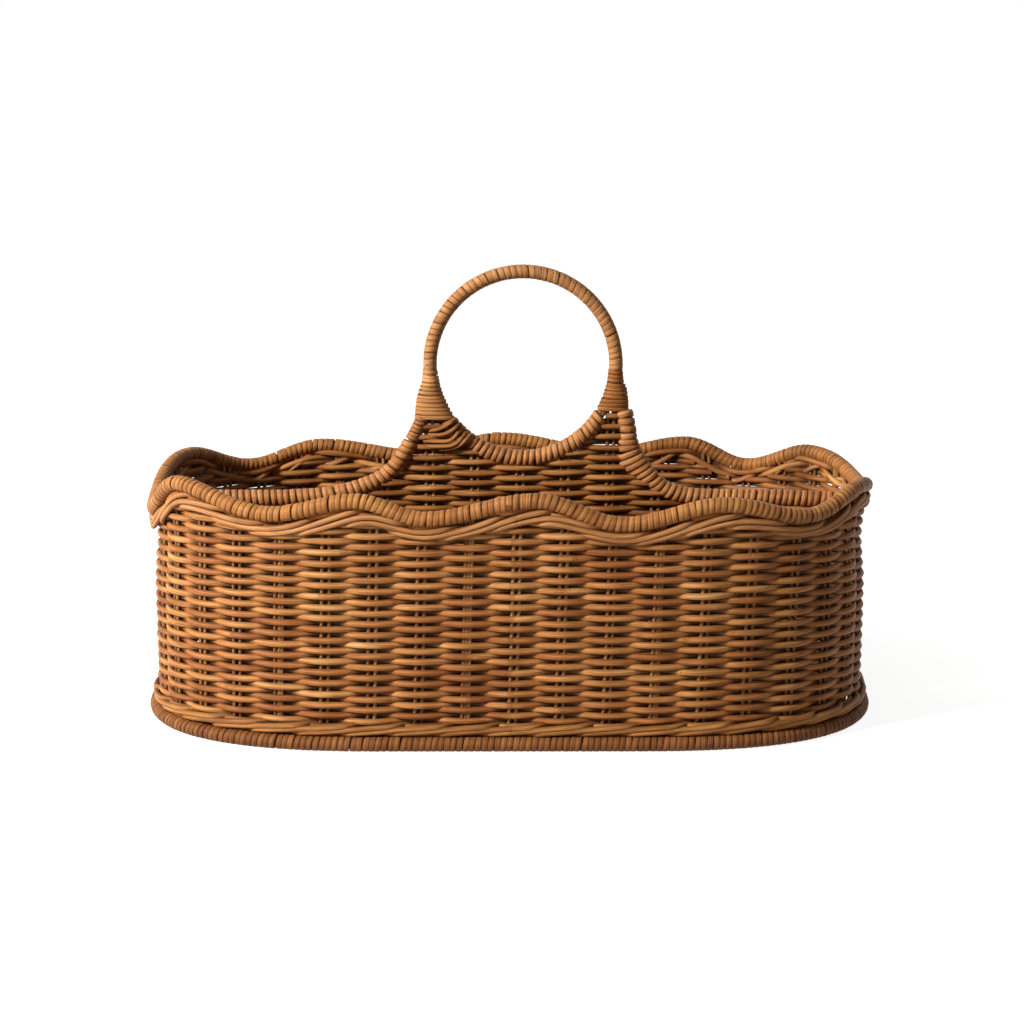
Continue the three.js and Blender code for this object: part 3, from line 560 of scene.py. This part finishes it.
weaving = weaving_tree()
stake_finish = cane_finish(
    "stake cane", [(118, 74, 38), (160, 106, 60), (204, 152, 94)], 0.52, 0.4)
stake_count = 42
stake_pitch = plan_length / stake_count
first_stake = 0.0013
opposite = stake_count // 2  # stake k and stake opposite - k face each other
crossing = range(-7, 7)
side_pitch = 0.0256  # along the two long walls; pairs stand closer round the ends
side_left, side_right = 5.5, 6.5  # that spacing's reach, in pairs from the middle
stake_lean, lean_height = 0.0032, 0.12  # a stake leans this far along the wall in this height
pair = (-0.00185, 0.00185)  # places of a pair's two canes, each side of its middle
stake_bow = 0.0005
stake_foot = 0.0125  # height of a stake where it runs through the base
stake_cover, stake_bend = 0.002, 0.004  # its reach into the rim, and the height of its bend
stake_tuck = 0.012  # an end stake goes this far into the base
third_canes, third_place = (-12, -5, -1, 3, 8, 12, 19, 25), 0.0004
stake_chance = np.random.default_rng(5)
pitch_numbers = np.array([
    -side_left, side_right, opposite - side_right, opposite + side_left,
    stake_count - side_left])
pitch_runs = first_stake + np.array([
    -side_left * side_pitch, side_right * side_pitch,
    plan_length / 2 - side_right * side_pitch, plan_length / 2 + side_left * side_pitch,
    plan_length - side_left * side_pitch])


def stake_turn(k):
    """Where stake k stands. Numbers between two stakes give the places between them."""
    laps = np.floor((k + side_left) / stake_count)
    run = np.interp(k - laps * stake_count, pitch_numbers, pitch_runs)
    return laps + run / plan_length


waist_depth, waist_height, waist_reach = 0.0024, 0.106, 0.018
waist_starts, waist_grows = 0.15, 0.05  # along the basket


def waist(places, height):
    """How far the wall stands back under the rim, which is only so at the basket's two ends."""
    end = np.clip((np.abs(places[:, 0]) - waist_starts) / waist_grows, 0, 1)
    return (waist_depth * end * np.exp(-((height - waist_height) / waist_reach) ** 2))[:, None]


def stake_down(k, shift):
    """Points of one cane of stake k, from under the rim down to its bend into the base."""
    turn = stake_turn(k) + shift / plan_length
    top = float(weave_top(turn + stake_lean / plan_length)) + stake_cover
    heights = np.linspace(top, stake_foot + stake_bend, 9)
    share = (heights - stake_foot) / (top - stake_foot)
    bow = stake_chance.uniform(-stake_bow, stake_bow) * np.sin(np.pi * share)
    places, out = on_plan(turn + (stake_lean * share + bow) / plan_length)
    wall = places - waist(places, heights) * out + np.outer(heights, (0, 0, 1))
    foot, foot_way = on_plan(turn)
    bend = [foot - inset * foot_way + (0, 0, stake_foot + rise)
            for inset, rise in ((0.0006, 0.0016), (0.002, 0.0004), (0.004, 0))]
    return np.vstack([wall, bend]), np.vstack([out, np.tile(foot_way, (3, 1))])


def tied(first, second, count=12):
    """Points between the ends of two lines, so that they are one cane."""
    share = np.linspace(0, 1, count + 2)[1:-1, None]
    return first * (1 - share) + second * share


stake_lines, stake_ways = [], []
for k in crossing:
    for shift in pair:
        front, front_way = stake_down(k, shift)
        back, back_way = stake_down(opposite - k, -shift)
        middle = tied(front[-1], back[-1])
        stake_lines.append(np.vstack([front, middle, back[::-1]]))
        flat_way = np.tile((0, 0, 1), (len(middle), 1))
        stake_ways.append(np.vstack([front_way, flat_way, back_way[::-1]]))
for k in (*range(-14, -7), *range(7, 15)):
    for shift in pair:
        line, way = stake_down(k, shift)
        tucked_end = line[-1] - stake_tuck * way[-1]
        stake_lines.append(
            np.vstack([line, tied(line[-1], tucked_end, 2), tucked_end[None]]))
        stake_ways.append(np.vstack([way, np.tile((0, 0, 1), (3, 1))]))
for k in third_canes:
    line, way = stake_down(k, third_place)
    stake_lines.append(line)
    stake_ways.append(way)
wall_stakes = laid(
    "wall_stake_canes", stake_lines, stake_ways, stake_finish, cane_width=0.0024,
    cane_thickness=0.0026, seed=5)
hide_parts(*[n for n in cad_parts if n.startswith(("cross_", "end_"))])
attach(wall_stakes, "root")

# Wall weave: one round cane after another, in front of one pair of stakes and behind the next,
# row on row. The level rows stop under the scalloped rim, and the last two follow it all round.
weave_finish = cane_finish(
    "woven cane", [(112, 57, 25), (166, 99, 47), (206, 138, 75), (242, 185, 118)], 0.46, 0.24)
row_pitch = 0.00302
first_row = 0.00728
rows_under_rim = 0.0036  # the level rows stop this far under the weave's top
weave_depth = 0.00215
points_a_stake = 7
level_row_count = 48
row_slip, row_wander = 0.0001, 0.00022  # how far off its height a row lies, and how far it winds
wall_chance = np.random.default_rng(11)
wall_stake_number = np.arange(stake_count * points_a_stake) / points_a_stake
wall_turns = stake_turn(wall_stake_number)
wall_limit = weave_top(wall_turns) - rows_under_rim


def runs_of(wanted):
    """Index lists of the unbroken runs of a ring of yes and no, and whether it is all yes."""
    if wanted.all():
        return [np.arange(len(wanted))], True
    start = int(np.argmin(wanted))
    order = (np.arange(len(wanted)) + start) % len(wanted)
    runs, current = [], []
    for i in order:
        if wanted[i]:
            current.append(i)
        elif current:
            runs.append(np.array(current))
            current = []
    if current:
        runs.append(np.array(current))
    return [run for run in runs if len(run) >= points_a_stake], False


def row_tones(turns, chance):
    """Tone along a row: a new cane is laid in every fifth to half of the way round."""
    joins = np.sort(chance.random(chance.integers(2, 6)))
    tones = chance.random(len(joins) + 1)
    return tones[np.searchsorted(joins, turns % 1)]


row_lines, row_ways, row_stakes, row_numbers, row_closed, row_canes = [], [], [], [], [], []
level_rows = [
    np.full(len(wall_turns), first_row + row * row_pitch) for row in range(level_row_count)]
last_rows = [weave_top(wall_turns) - under for under in (-0.0006, 0.0026)]
for row, heights in enumerate(level_rows + last_rows):
    follows_rim = row >= len(level_rows)
    runs, whole = runs_of((heights < wall_limit) | follows_rim)
    heights = heights + wall_chance.uniform(-row_slip, row_slip) + row_wander * np.sin(
        2 * np.pi * (wall_turns * wall_chance.integers(3, 9) + wall_chance.random()))
    tones = row_tones(wall_turns, wall_chance)
    for run in runs:
        height = heights[run]
        shift = stake_lean * (height - stake_foot) / lean_height
        places, out = on_plan(wall_turns[run] + shift / plan_length)
        row_lines.append(places - waist(places, height) * out + np.outer(height, (0, 0, 1)))
        row_ways.append(out)
        row_stakes.append(wall_stake_number[run])
        row_numbers.append(row)
        row_closed.append(whole)
        row_canes.append(tones[run])
wall_weave = laid(
    "wall_weavers", row_lines, row_ways, weave_finish, closed=row_closed, stakes=row_stakes,
    rows=row_numbers, canes=row_canes, depth=weave_depth, wobble=0.0006,
    cane_width=0.0038, cane_thickness=0.003, seed=2)
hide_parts("wall_weave")
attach(wall_weave, "root")

# Base: the same weave laid flat, in rows along the basket, over and under the crossing stakes.
# Its canes are pressed flatter than the wall's, and end just inside it.
base_inset = 0.0043
base_row_count, base_row_pitch = 54, 0.0034
base_depth = 0.0017
base_points = 8  # for each stake that a row passes
crossing_x = [
    0.5 * (on_plan(stake_turn(k))[0][0] + on_plan(stake_turn(opposite - k))[0][0])
    for k in crossing]
base_lines, base_stakes = [], []
base_half_width = plan_half_width - base_inset
for y in (np.arange(base_row_count) - (base_row_count - 1) / 2) * base_row_pitch:
    share = max(0.0, 1 - abs(y / base_half_width) ** plan_fullness) ** (1 / plan_fullness)
    half = plan_straight + (plan_half_length - base_inset - plan_straight) * share
    x = np.linspace(-half, half, int(2 * half / stake_pitch * base_points))
    base_lines.append(np.column_stack([x, np.full_like(x, y), np.full_like(x, stake_foot)]))
    slope = stake_count / plan_length
    number = np.interp(x, crossing_x, list(crossing))
    number += np.minimum(x - crossing_x[0], 0) * slope + np.maximum(x - crossing_x[-1], 0) * slope
    base_stakes.append(number)
base_weave = laid(
    "base_weavers", base_lines, [(0, 0, 1)] * base_row_count, weave_finish, stakes=base_stakes,
    rows=range(base_row_count), depth=base_depth, wobble=0.0008, cane_width=0.0042,
    cane_thickness=0.0026, sides=6, seed=3)
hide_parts("base_weave")
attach(base_weave, "root")


# Bottom wale: three thicker canes over the foot. Each goes in front of two pairs of stakes and
# behind the third, rising as it goes, so that they lie like the strands of a rope.
def wale_lines(low, high, front, behind, lean, slow, samples=14):
    """Three strands round the wall. low and high give the band's edges at a turn, and front and
    behind are how far a strand's middle stands outside and inside the wall's. slow is how much
    of its rise a strand makes in the first part of its way."""
    number = np.arange(stake_count * samples) / samples
    turns = stake_turn(number)
    places, out = on_plan(turns + lean / plan_length)
    lines = []
    for strand in range(3):
        since_hidden = ((number - strand) / 3) % 1  # 0 where it is behind a stake
        rise = np.interp(since_hidden, [0, 0.1, 0.4, 0.9, 1], [0.5, 0, slow, 1, 0.5])
        tucked = np.cos(np.pi / 2 * np.minimum(
            1, np.minimum(since_hidden, 1 - since_hidden) / 0.2)) ** 2
        outer = front + 0.0009 * (rise - 0.5)
        reach = outer + (behind - outer) * tucked
        height = low(turns) + (high(turns) - low(turns)) * rise
        line = places + reach[:, None] * out + np.outer(height, (0, 0, 1))
        for _ in range(3):
            line = (np.roll(line, 1, 0) + 2 * line + np.roll(line, -1, 0)) / 4
        lines.append(line)
    return lines, [out] * 3


wale_finish = cane_finish(
    "wale cane", [(134, 80, 41), (182, 119, 66), (215, 150, 90), (240, 182, 122)], 0.48, 0.22)
bottom_wale_finish = cane_finish(
    "bottom wale cane", [(112, 64, 28), (154, 96, 46), (186, 124, 64), (212, 152, 88)], 0.48, 0.24)
bottom_lines, bottom_ways = wale_lines(
    lambda turn: np.full_like(turn, 0.0095), lambda turn: np.full_like(turn, 0.0148),
    front=0.0048, behind=-0.0024, lean=0.0, slow=0.35)
bottom_wale = laid(
    "bottom_wale_canes", bottom_lines, bottom_ways, bottom_wale_finish, closed=True,
    wobble=0.0008, cane_width=0.0034, cane_thickness=0.0032, seed=4)
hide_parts("bottom_wale")
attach(bottom_wale, "root")

# Top wale: three canes like the bottom ones, under the rim and following its scallops, so that
# they cover the ends of the rows below.
def crest_share(turn):
    """0 in the troughs of the rim and 1 on its crests."""
    trough, rise = 0.127, 0.0095
    return np.clip((rim_height(turn) - trough) / rise, 0, 1)


top_lines, top_ways = wale_lines(
    lambda turn: weave_top(turn) - 0.0058 - 0.002 * crest_share(turn),
    lambda turn: weave_top(turn) - 0.0002, front=0.0037, behind=-0.0026, lean=stake_lean,
    slow=0.3)
top_wale = laid(
    "top_wale_canes", top_lines, top_ways, wale_finish, closed=True, wobble=0.001,
    cane_width=0.0033, cane_thickness=0.003, seed=6)
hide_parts("top_wale")
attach(top_wale, "root")

# Rim: split cane wound close round the rim's hoop of rods, over the tops of the stakes. Its face
# is flat and its flanks are rounded, so each turn shows as a low rib.
rim_outset = 0.002
rim_cane_thickness = 0.001
rim_reach = rim_radius - rim_cane_thickness / 2
rim_turns = np.linspace(0, 1, 1200, endpoint=False)
rim_places, rim_out = on_plan(rim_turns)
rim_line = rim_places + rim_outset * rim_out + np.outer(rim_height(rim_turns), (0, 0, 1))
rim_way = np.roll(rim_line, -1, 0) - np.roll(rim_line, 1, 0)
rim_up = np.cross(rim_out, rim_way)
rim_up *= np.sign(rim_up[:, 2:]) / np.linalg.norm(rim_up, axis=1, keepdims=True)
rim_binding = wound(
    "rim_binding_cane", rim_line, rim_reach * rim_out, rim_reach * rim_up, True, 0.00335,
    binding_finish, steps_a_turn=12, cane_width=0.0035, cane_thickness=rim_cane_thickness,
    sides=10, squareness=0.7, unevenness=0.3, seed=7)
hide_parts("rim_binding")
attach(rim_binding, "root")


# Divider's edges: from each end of the basket a rod, thinned at its tip, runs to the middle and
# rises to the ring. Thick round cane is wound round it.
def blend(first, second, start, end, t):
    """From the first place to the second while t goes from start to end."""
    return first * (end - t) / (end - start) + second * (t - start) / (end - start)


def smooth_line(points, spacing):
    """A smooth line through points, with its own points about the spacing apart."""
    points = np.asarray(points, float)
    padded = np.vstack([2 * points[0] - points[1], points, 2 * points[-1] - points[-2]])
    gaps = np.sqrt(np.linalg.norm(np.diff(padded, axis=0), axis=1))
    knots = np.r_[0, np.cumsum(gaps)]
    pieces = []
    for k in range(1, len(padded) - 2):
        t0, t1, t2, t3 = knots[k - 1:k + 3]
        count = max(2, int(np.linalg.norm(padded[k + 1] - padded[k]) / spacing))
        t = np.linspace(t1, t2, count, endpoint=False)[:, None]
        a = blend(padded[k - 1], padded[k], t0, t1, t)
        b = blend(padded[k], padded[k + 1], t1, t2, t)
        c = blend(padded[k + 1], padded[k + 2], t2, t3, t)
        pieces.append(blend(blend(a, b, t0, t2, t), blend(b, c, t1, t3, t), t1, t2, t))
    return np.vstack(pieces + [points[-1:]])


def square_to(line, hand):
    """The ways square to a line of [x, z] pairs, on its left where hand is 1."""
    way = np.gradient(line, axis=0)
    square = hand * np.column_stack([-way[:, 1], way[:, 0]])
    return square / np.linalg.norm(square, axis=1, keepdims=True)


def in_plane(pairs):
    """[x, z] pairs of the divider's plane as places."""
    return np.column_stack([pairs[:, 0], np.zeros(len(pairs)), pairs[:, 1]])


ring_x, ring_z, ring_radius = 0.0077, 0.1985, 0.0534
divider_end = plan_half_length - 0.0033
edge_radius = 0.0049
edge_cane_thickness = 0.0021


def by_ring(pairs):
    """Places given from the ring's middle, in shares of its radius."""
    return [(ring_x + across * ring_radius, ring_z + up * ring_radius) for across, up in pairs]


left_route = smooth_line(
    [(-divider_end + 0.0003, 0.1208), (-divider_end + 0.0379, 0.1207)] + by_ring([
        (-2.541, -1.454), (-2.129, -1.424), (-1.8, -1.348), (-1.538, -1.237), (-1.374, -1.094),
        (-1.279, -0.951), (-1.182, -0.777), (-1.099, -0.609), (-1.06, -0.468),
        (-1.064, -0.346)]), 0.001)
right_route = smooth_line(
    [(divider_end - 0.0003, 0.1196), (divider_end - 0.0279, 0.1203)] + by_ring([
        (2.584, -1.451), (2.14, -1.449), (1.815, -1.434), (1.54, -1.352), (1.376, -1.206),
        (1.264, -1.051), (1.189, -0.919), (1.144, -0.749), (1.106, -0.552), (1.066, -0.421),
        (1.056, -0.309)]), 0.001)
edge_finish = cane_finish(
    "edge cane", [(134, 79, 40), (179, 113, 60), (209, 141, 82), (230, 171, 112)], 0.36, 0.18)
across_divider = np.array((0, 1, 0))


def share_of(line, start, end):
    """The part of a line between two shares of its points."""
    return line[int(len(line) * start):int(len(line) * end)]


edge_rod_lines = [in_plane(left_route), in_plane(right_route)]
edge_rod_sizes = [
    np.interp(np.linspace(0, 1, len(line)), (0.75, 1), (1, 0.5)) for line in edge_rod_lines]
edge_rods = laid(
    "edge_rods", edge_rod_lines, [across_divider] * 2, rod_finish, sizes=edge_rod_sizes,
    cane_width=0.0052, cane_thickness=0.0052, sides=12, seed=20)
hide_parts("left_edge_rod", "right_edge_rod")
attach(edge_rods, "root")

# The cane changes near the ring: finer on the left, and thicker on the right. At a height on the
# right its turns also go round the last pair of stakes, by the swell.
swell_height, swell_reach = 0.146, 0.009
for side_name, part, bound, hand, radius, pitch, thickness, swell, seed in (
        ("left", "edge", share_of(left_route, 0, 0.86), 1, edge_radius, 0.0038,
         edge_cane_thickness, 0, 8),
        ("left", "edge_top", share_of(left_route, 0.855, 0.94), 1, 0.0042, 0.0023, 0.0012, 0, 18),
        ("right", "edge", share_of(right_route, 0, 0.87), -1, edge_radius, 0.0037,
         edge_cane_thickness, 0.003, 9),
        ("right", "edge_top", share_of(right_route, 0.865, 0.943), -1, 0.0052, 0.0045,
         0.0023, 0.003, 19)):
    reach = radius - thickness / 2
    square = in_plane(square_to(bound, hand))
    wider = swell * np.exp(-((bound[:, 1:] - swell_height) / swell_reach) ** 2)
    edge_binding = wound(
        f"{side_name}_{part}_binding_cane", in_plane(bound) - wider * square,
        reach * across_divider, (reach + wider) * square, False, pitch, edge_finish,
        steps_a_turn=14, cane_width=pitch * 1.04, cane_thickness=thickness, sides=8,
        squareness=0.3, unevenness=0.3, seed=seed)
    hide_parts(side_name + "_edge_binding")
    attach(edge_binding, "root")


# Ring handle: one pole bent to a full ring. Thick round cane is wound round its lower part, and
# fine flat cane round the part that the hand takes.
def ring_arc(from_degrees, to_degrees):
    """Places on the ring's middle line and the ways out from its middle."""
    angle = np.radians(np.linspace(from_degrees, to_degrees, 240))
    way = np.column_stack([np.cos(angle), np.zeros_like(angle), np.sin(angle)])
    return np.array((ring_x, 0, ring_z)) + ring_radius * way, way


cradle_radius = 0.0049
cradle_left, cradle_right = 53.5, 57  # degrees each side of the ring's lowest point
cradle_sag = 0.0009
cradle_reach = cradle_radius - edge_cane_thickness / 2
cradle_line, cradle_way = ring_arc(-90 - cradle_left, -90 + cradle_right)
cradle_line[:, 2] -= cradle_sag * cradle_way[:, 2] ** 2
cradle_binding = wound(
    "cradle_binding_cane", cradle_line, cradle_reach * across_divider, cradle_reach * cradle_way,
    False, 0.00355, edge_finish, steps_a_turn=14, cane_width=0.0037,
    cane_thickness=edge_cane_thickness, sides=8, squareness=0.3, unevenness=0.3, seed=10)
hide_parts("cradle_binding")
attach(cradle_binding, "root")

handle_finish = cane_finish(
    "fine handle cane", [(142, 90, 48), (182, 122, 69), (208, 145, 88), (226, 170, 112)],
    0.42, 0.16)
handle_reach = 0.0037
handle_half = 97  # degrees each side of the ring's top
handle_line, handle_way = ring_arc(90 + handle_half, 90 - handle_half)
handle_binding = wound(
    "handle_binding_cane", handle_line, handle_reach * across_divider, handle_reach * handle_way,
    False, 0.00345, handle_finish, steps_a_turn=14, cane_width=0.0037, cane_thickness=0.0007,
    sides=10, squareness=0.7, unevenness=0.24, seed=12)
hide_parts("handle_binding")
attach(handle_binding, "root")

# Joint lashings: where an edge rod meets the ring, the fine cane goes on over both, wide below
# and slim above, and hides the rod's thinned end.
# The two lashings are one fine cane. The left one's tones are painted lighter and the right one's
# darker: painted light and painted shade on the two joints.
lit_left_lashing_finish = cane_finish(
    "left lashing cane painted light", [(162, 102, 54), (204, 138, 79), (230, 164, 101), (242, 188, 128)],
    0.42, 0.16)
shaded_right_lashing_finish = cane_finish(
    "right lashing cane painted dark", [(120, 67, 27), (156, 92, 40), (182, 115, 54), (200, 136, 72)],
    0.45, 0.16)
lashing_cane_thickness = 0.0007
lashing_half_depth = 0.0043
for side_name, finish, shape, seed in (  # shape: by the ring, and half the width in millimetres
        ("left", lit_left_lashing_finish, [
            (-0.955, -0.585, 11.8), (-0.979, -0.459, 9.6), (-0.998, -0.328, 7.6),
            (-0.994, -0.178, 5.2), (-1.0, -0.058, 4.3)], 13),
        ("right", shaded_right_lashing_finish, [
            (0.967, -0.495, 9.3), (0.986, -0.4, 8.2), (1.002, -0.285, 6.6),
            (0.996, -0.16, 4.8), (0.998, -0.058, 4.3)], 14)):
    route = smooth_line(by_ring([(across, up) for across, up, _ in shape]), 0.0005)
    knots = np.linspace(0, 1, len(shape))
    half = np.interp(np.linspace(0, 1, len(route)), knots, [w / 1000 for *_, w in shape])
    half -= lashing_cane_thickness / 2
    depth = np.minimum(half, lashing_half_depth)
    joint_lashing = wound(
        side_name + "_joint_lashing_cane", in_plane(route), depth[:, None] * across_divider,
        half[:, None] * np.array((1, 0, 0)), False, 0.0023, finish,
        steps_a_turn=20, cane_width=0.0025, cane_thickness=lashing_cane_thickness, sides=8,
        squareness=0.6, unevenness=0.3, seed=seed)
    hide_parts(side_name + "_joint_lashing")
    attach(joint_lashing, "root")

# Divider: a woven wall of its own, lengthwise in the middle, on thirteen pairs of stakes that
# stand on the base. Its weave fills the space under the bound edges and the ring.
divider_stake_pitch, divider_stake_middle = 0.0262, 0.006
divider_foot = 0.0163
divider_depth = 0.0023
divider_tuck = 0.0026  # the weave goes this far into the bindings
under_edge = edge_radius - divider_tuck
under_share = 0.965  # of an edge rod's line has weave under it
ring_under_half = 58.5  # degrees each side of the ring's lowest point
left_under = share_of(left_route, 0, under_share)
right_under = share_of(right_route, 0, under_share)
ring_under, ring_under_way = ring_arc(-90 - ring_under_half, -90 + ring_under_half)
divider_top = np.vstack([
    left_under - under_edge * square_to(left_under, 1),
    (ring_under + (cradle_radius - divider_tuck) * ring_under_way)[:, [0, 2]],
    (right_under - under_edge * square_to(right_under, -1))[::-1]])


def divider_height(x):
    """Top of the divider's weave at x."""
    order = np.argsort(divider_top[:, 0])
    return np.interp(x, divider_top[order, 0], divider_top[order, 1])


post_sway = 0.0006
post_lines = []
post_chance = np.random.default_rng(15)
for k in range(-6, 7):
    for shift in pair:
        x = divider_stake_middle + k * divider_stake_pitch + shift
        heights = np.linspace(divider_foot, float(divider_height(x)) + 0.001, 12)
        sway = post_chance.uniform(-post_sway, post_sway) * np.sin(np.linspace(0, np.pi, 12))
        post_lines.append(in_plane(np.column_stack([x + sway, heights])))
divider_stakes = laid(
    "divider_stake_canes", post_lines, [across_divider] * len(post_lines), stake_finish,
    cane_width=0.0023, cane_thickness=0.0023, seed=15)
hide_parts(*[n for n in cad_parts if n.startswith("divider_stakes")])
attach(divider_stakes, "root")

# The divider's cane is the wall's woven cane painted darker, a painted shade for where it stands
# inside the basket. Its lower roughness, a little more gloss, is its own.
shaded_divider_finish = cane_finish(
    "divider cane painted dark", [(102, 52, 20), (150, 89, 38), (190, 125, 62), (228, 170, 102)], 0.42, 0.24)
panel_lines, panel_stakes, panel_rows, panel_sizes, panel_canes = [], [], [], [], []
panel_chance = np.random.default_rng(16)
panel_x = np.linspace(-divider_end + 0.0005, divider_end - 0.0005, 260)
panel_row_limit = 60  # more rows than fit under the edges
panel_first_row = divider_foot + 0.0015
for row in range(panel_row_limit):
    height = panel_first_row + row * row_pitch
    inside = height < divider_height(panel_x)
    inside = np.r_[False, inside, False]
    starts = np.flatnonzero(~inside[:-1] & inside[1:])
    ends = np.flatnonzero(inside[:-1] & ~inside[1:])
    for start, end in zip(starts, ends):
        if end - start < 3:
            continue
        x = panel_x[start:end]
        drift = 0.0003 * np.sin(x * panel_chance.uniform(30, 70) + panel_chance.uniform(0, 6))
        panel_lines.append(in_plane(np.column_stack([x, height + drift])))
        panel_stakes.append((x - divider_stake_middle) / divider_stake_pitch)
        panel_rows.append(row)
        panel_sizes.append(1)
        panel_canes.append(row_tones(x / 0.4 + 0.5, panel_chance))
# At the left joint the top weavers don't end level: they turn up in front of the ring. Their
# places are in millimetres.
for strand in ([(-46.5, 160.5), (-42.3, 161.0), (-38.3, 162.7), (-30.8, 167.9)],
               [(-46.8, 158.1), (-37.7, 158.6), (-32.5, 161.5), (-28.5, 165.0)],
               [(-49.8, 154.6), (-41.2, 154.6), (-33.7, 155.1), (-27.4, 162.7)],
               [(-49.9, 151.4), (-39.5, 151.6), (-31.4, 152.8), (-25.1, 159.8)],
               [(-40.6, 149.6), (-36.6, 149.9), (-29.7, 151.6), (-22.2, 158.6)]):
    line = smooth_line(np.array(strand) / 1000, 0.001)
    for _ in range(10):  # eases the bends
        line[1:-1] = (line[:-2] + 2 * line[1:-1] + line[2:]) / 4
    share = np.linspace(0, 1, len(line))
    forward = 0.002 + 0.004 * np.clip(share / 0.7, 0, 1) - 0.02 * np.clip(share - 0.85, 0, 1)
    panel_lines.append(in_plane(line) - np.outer(forward, across_divider))
    panel_stakes.append(0.5)  # half-way between two stakes, so that it isn't waved
    panel_rows.append(0)
    panel_sizes.append(0.72)
    panel_canes.append(panel_chance.uniform(0.5, 1))
divider_weave = laid(
    "divider_weavers", panel_lines, [(0, -1, 0)] * len(panel_lines), shaded_divider_finish,
    stakes=panel_stakes, rows=panel_rows, sizes=panel_sizes, canes=panel_canes,
    depth=divider_depth, wobble=0.0009, cane_width=0.0038, cane_thickness=0.0028,
    sides=6, seed=17)
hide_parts("divider_weave")
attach(divider_weave, "root")
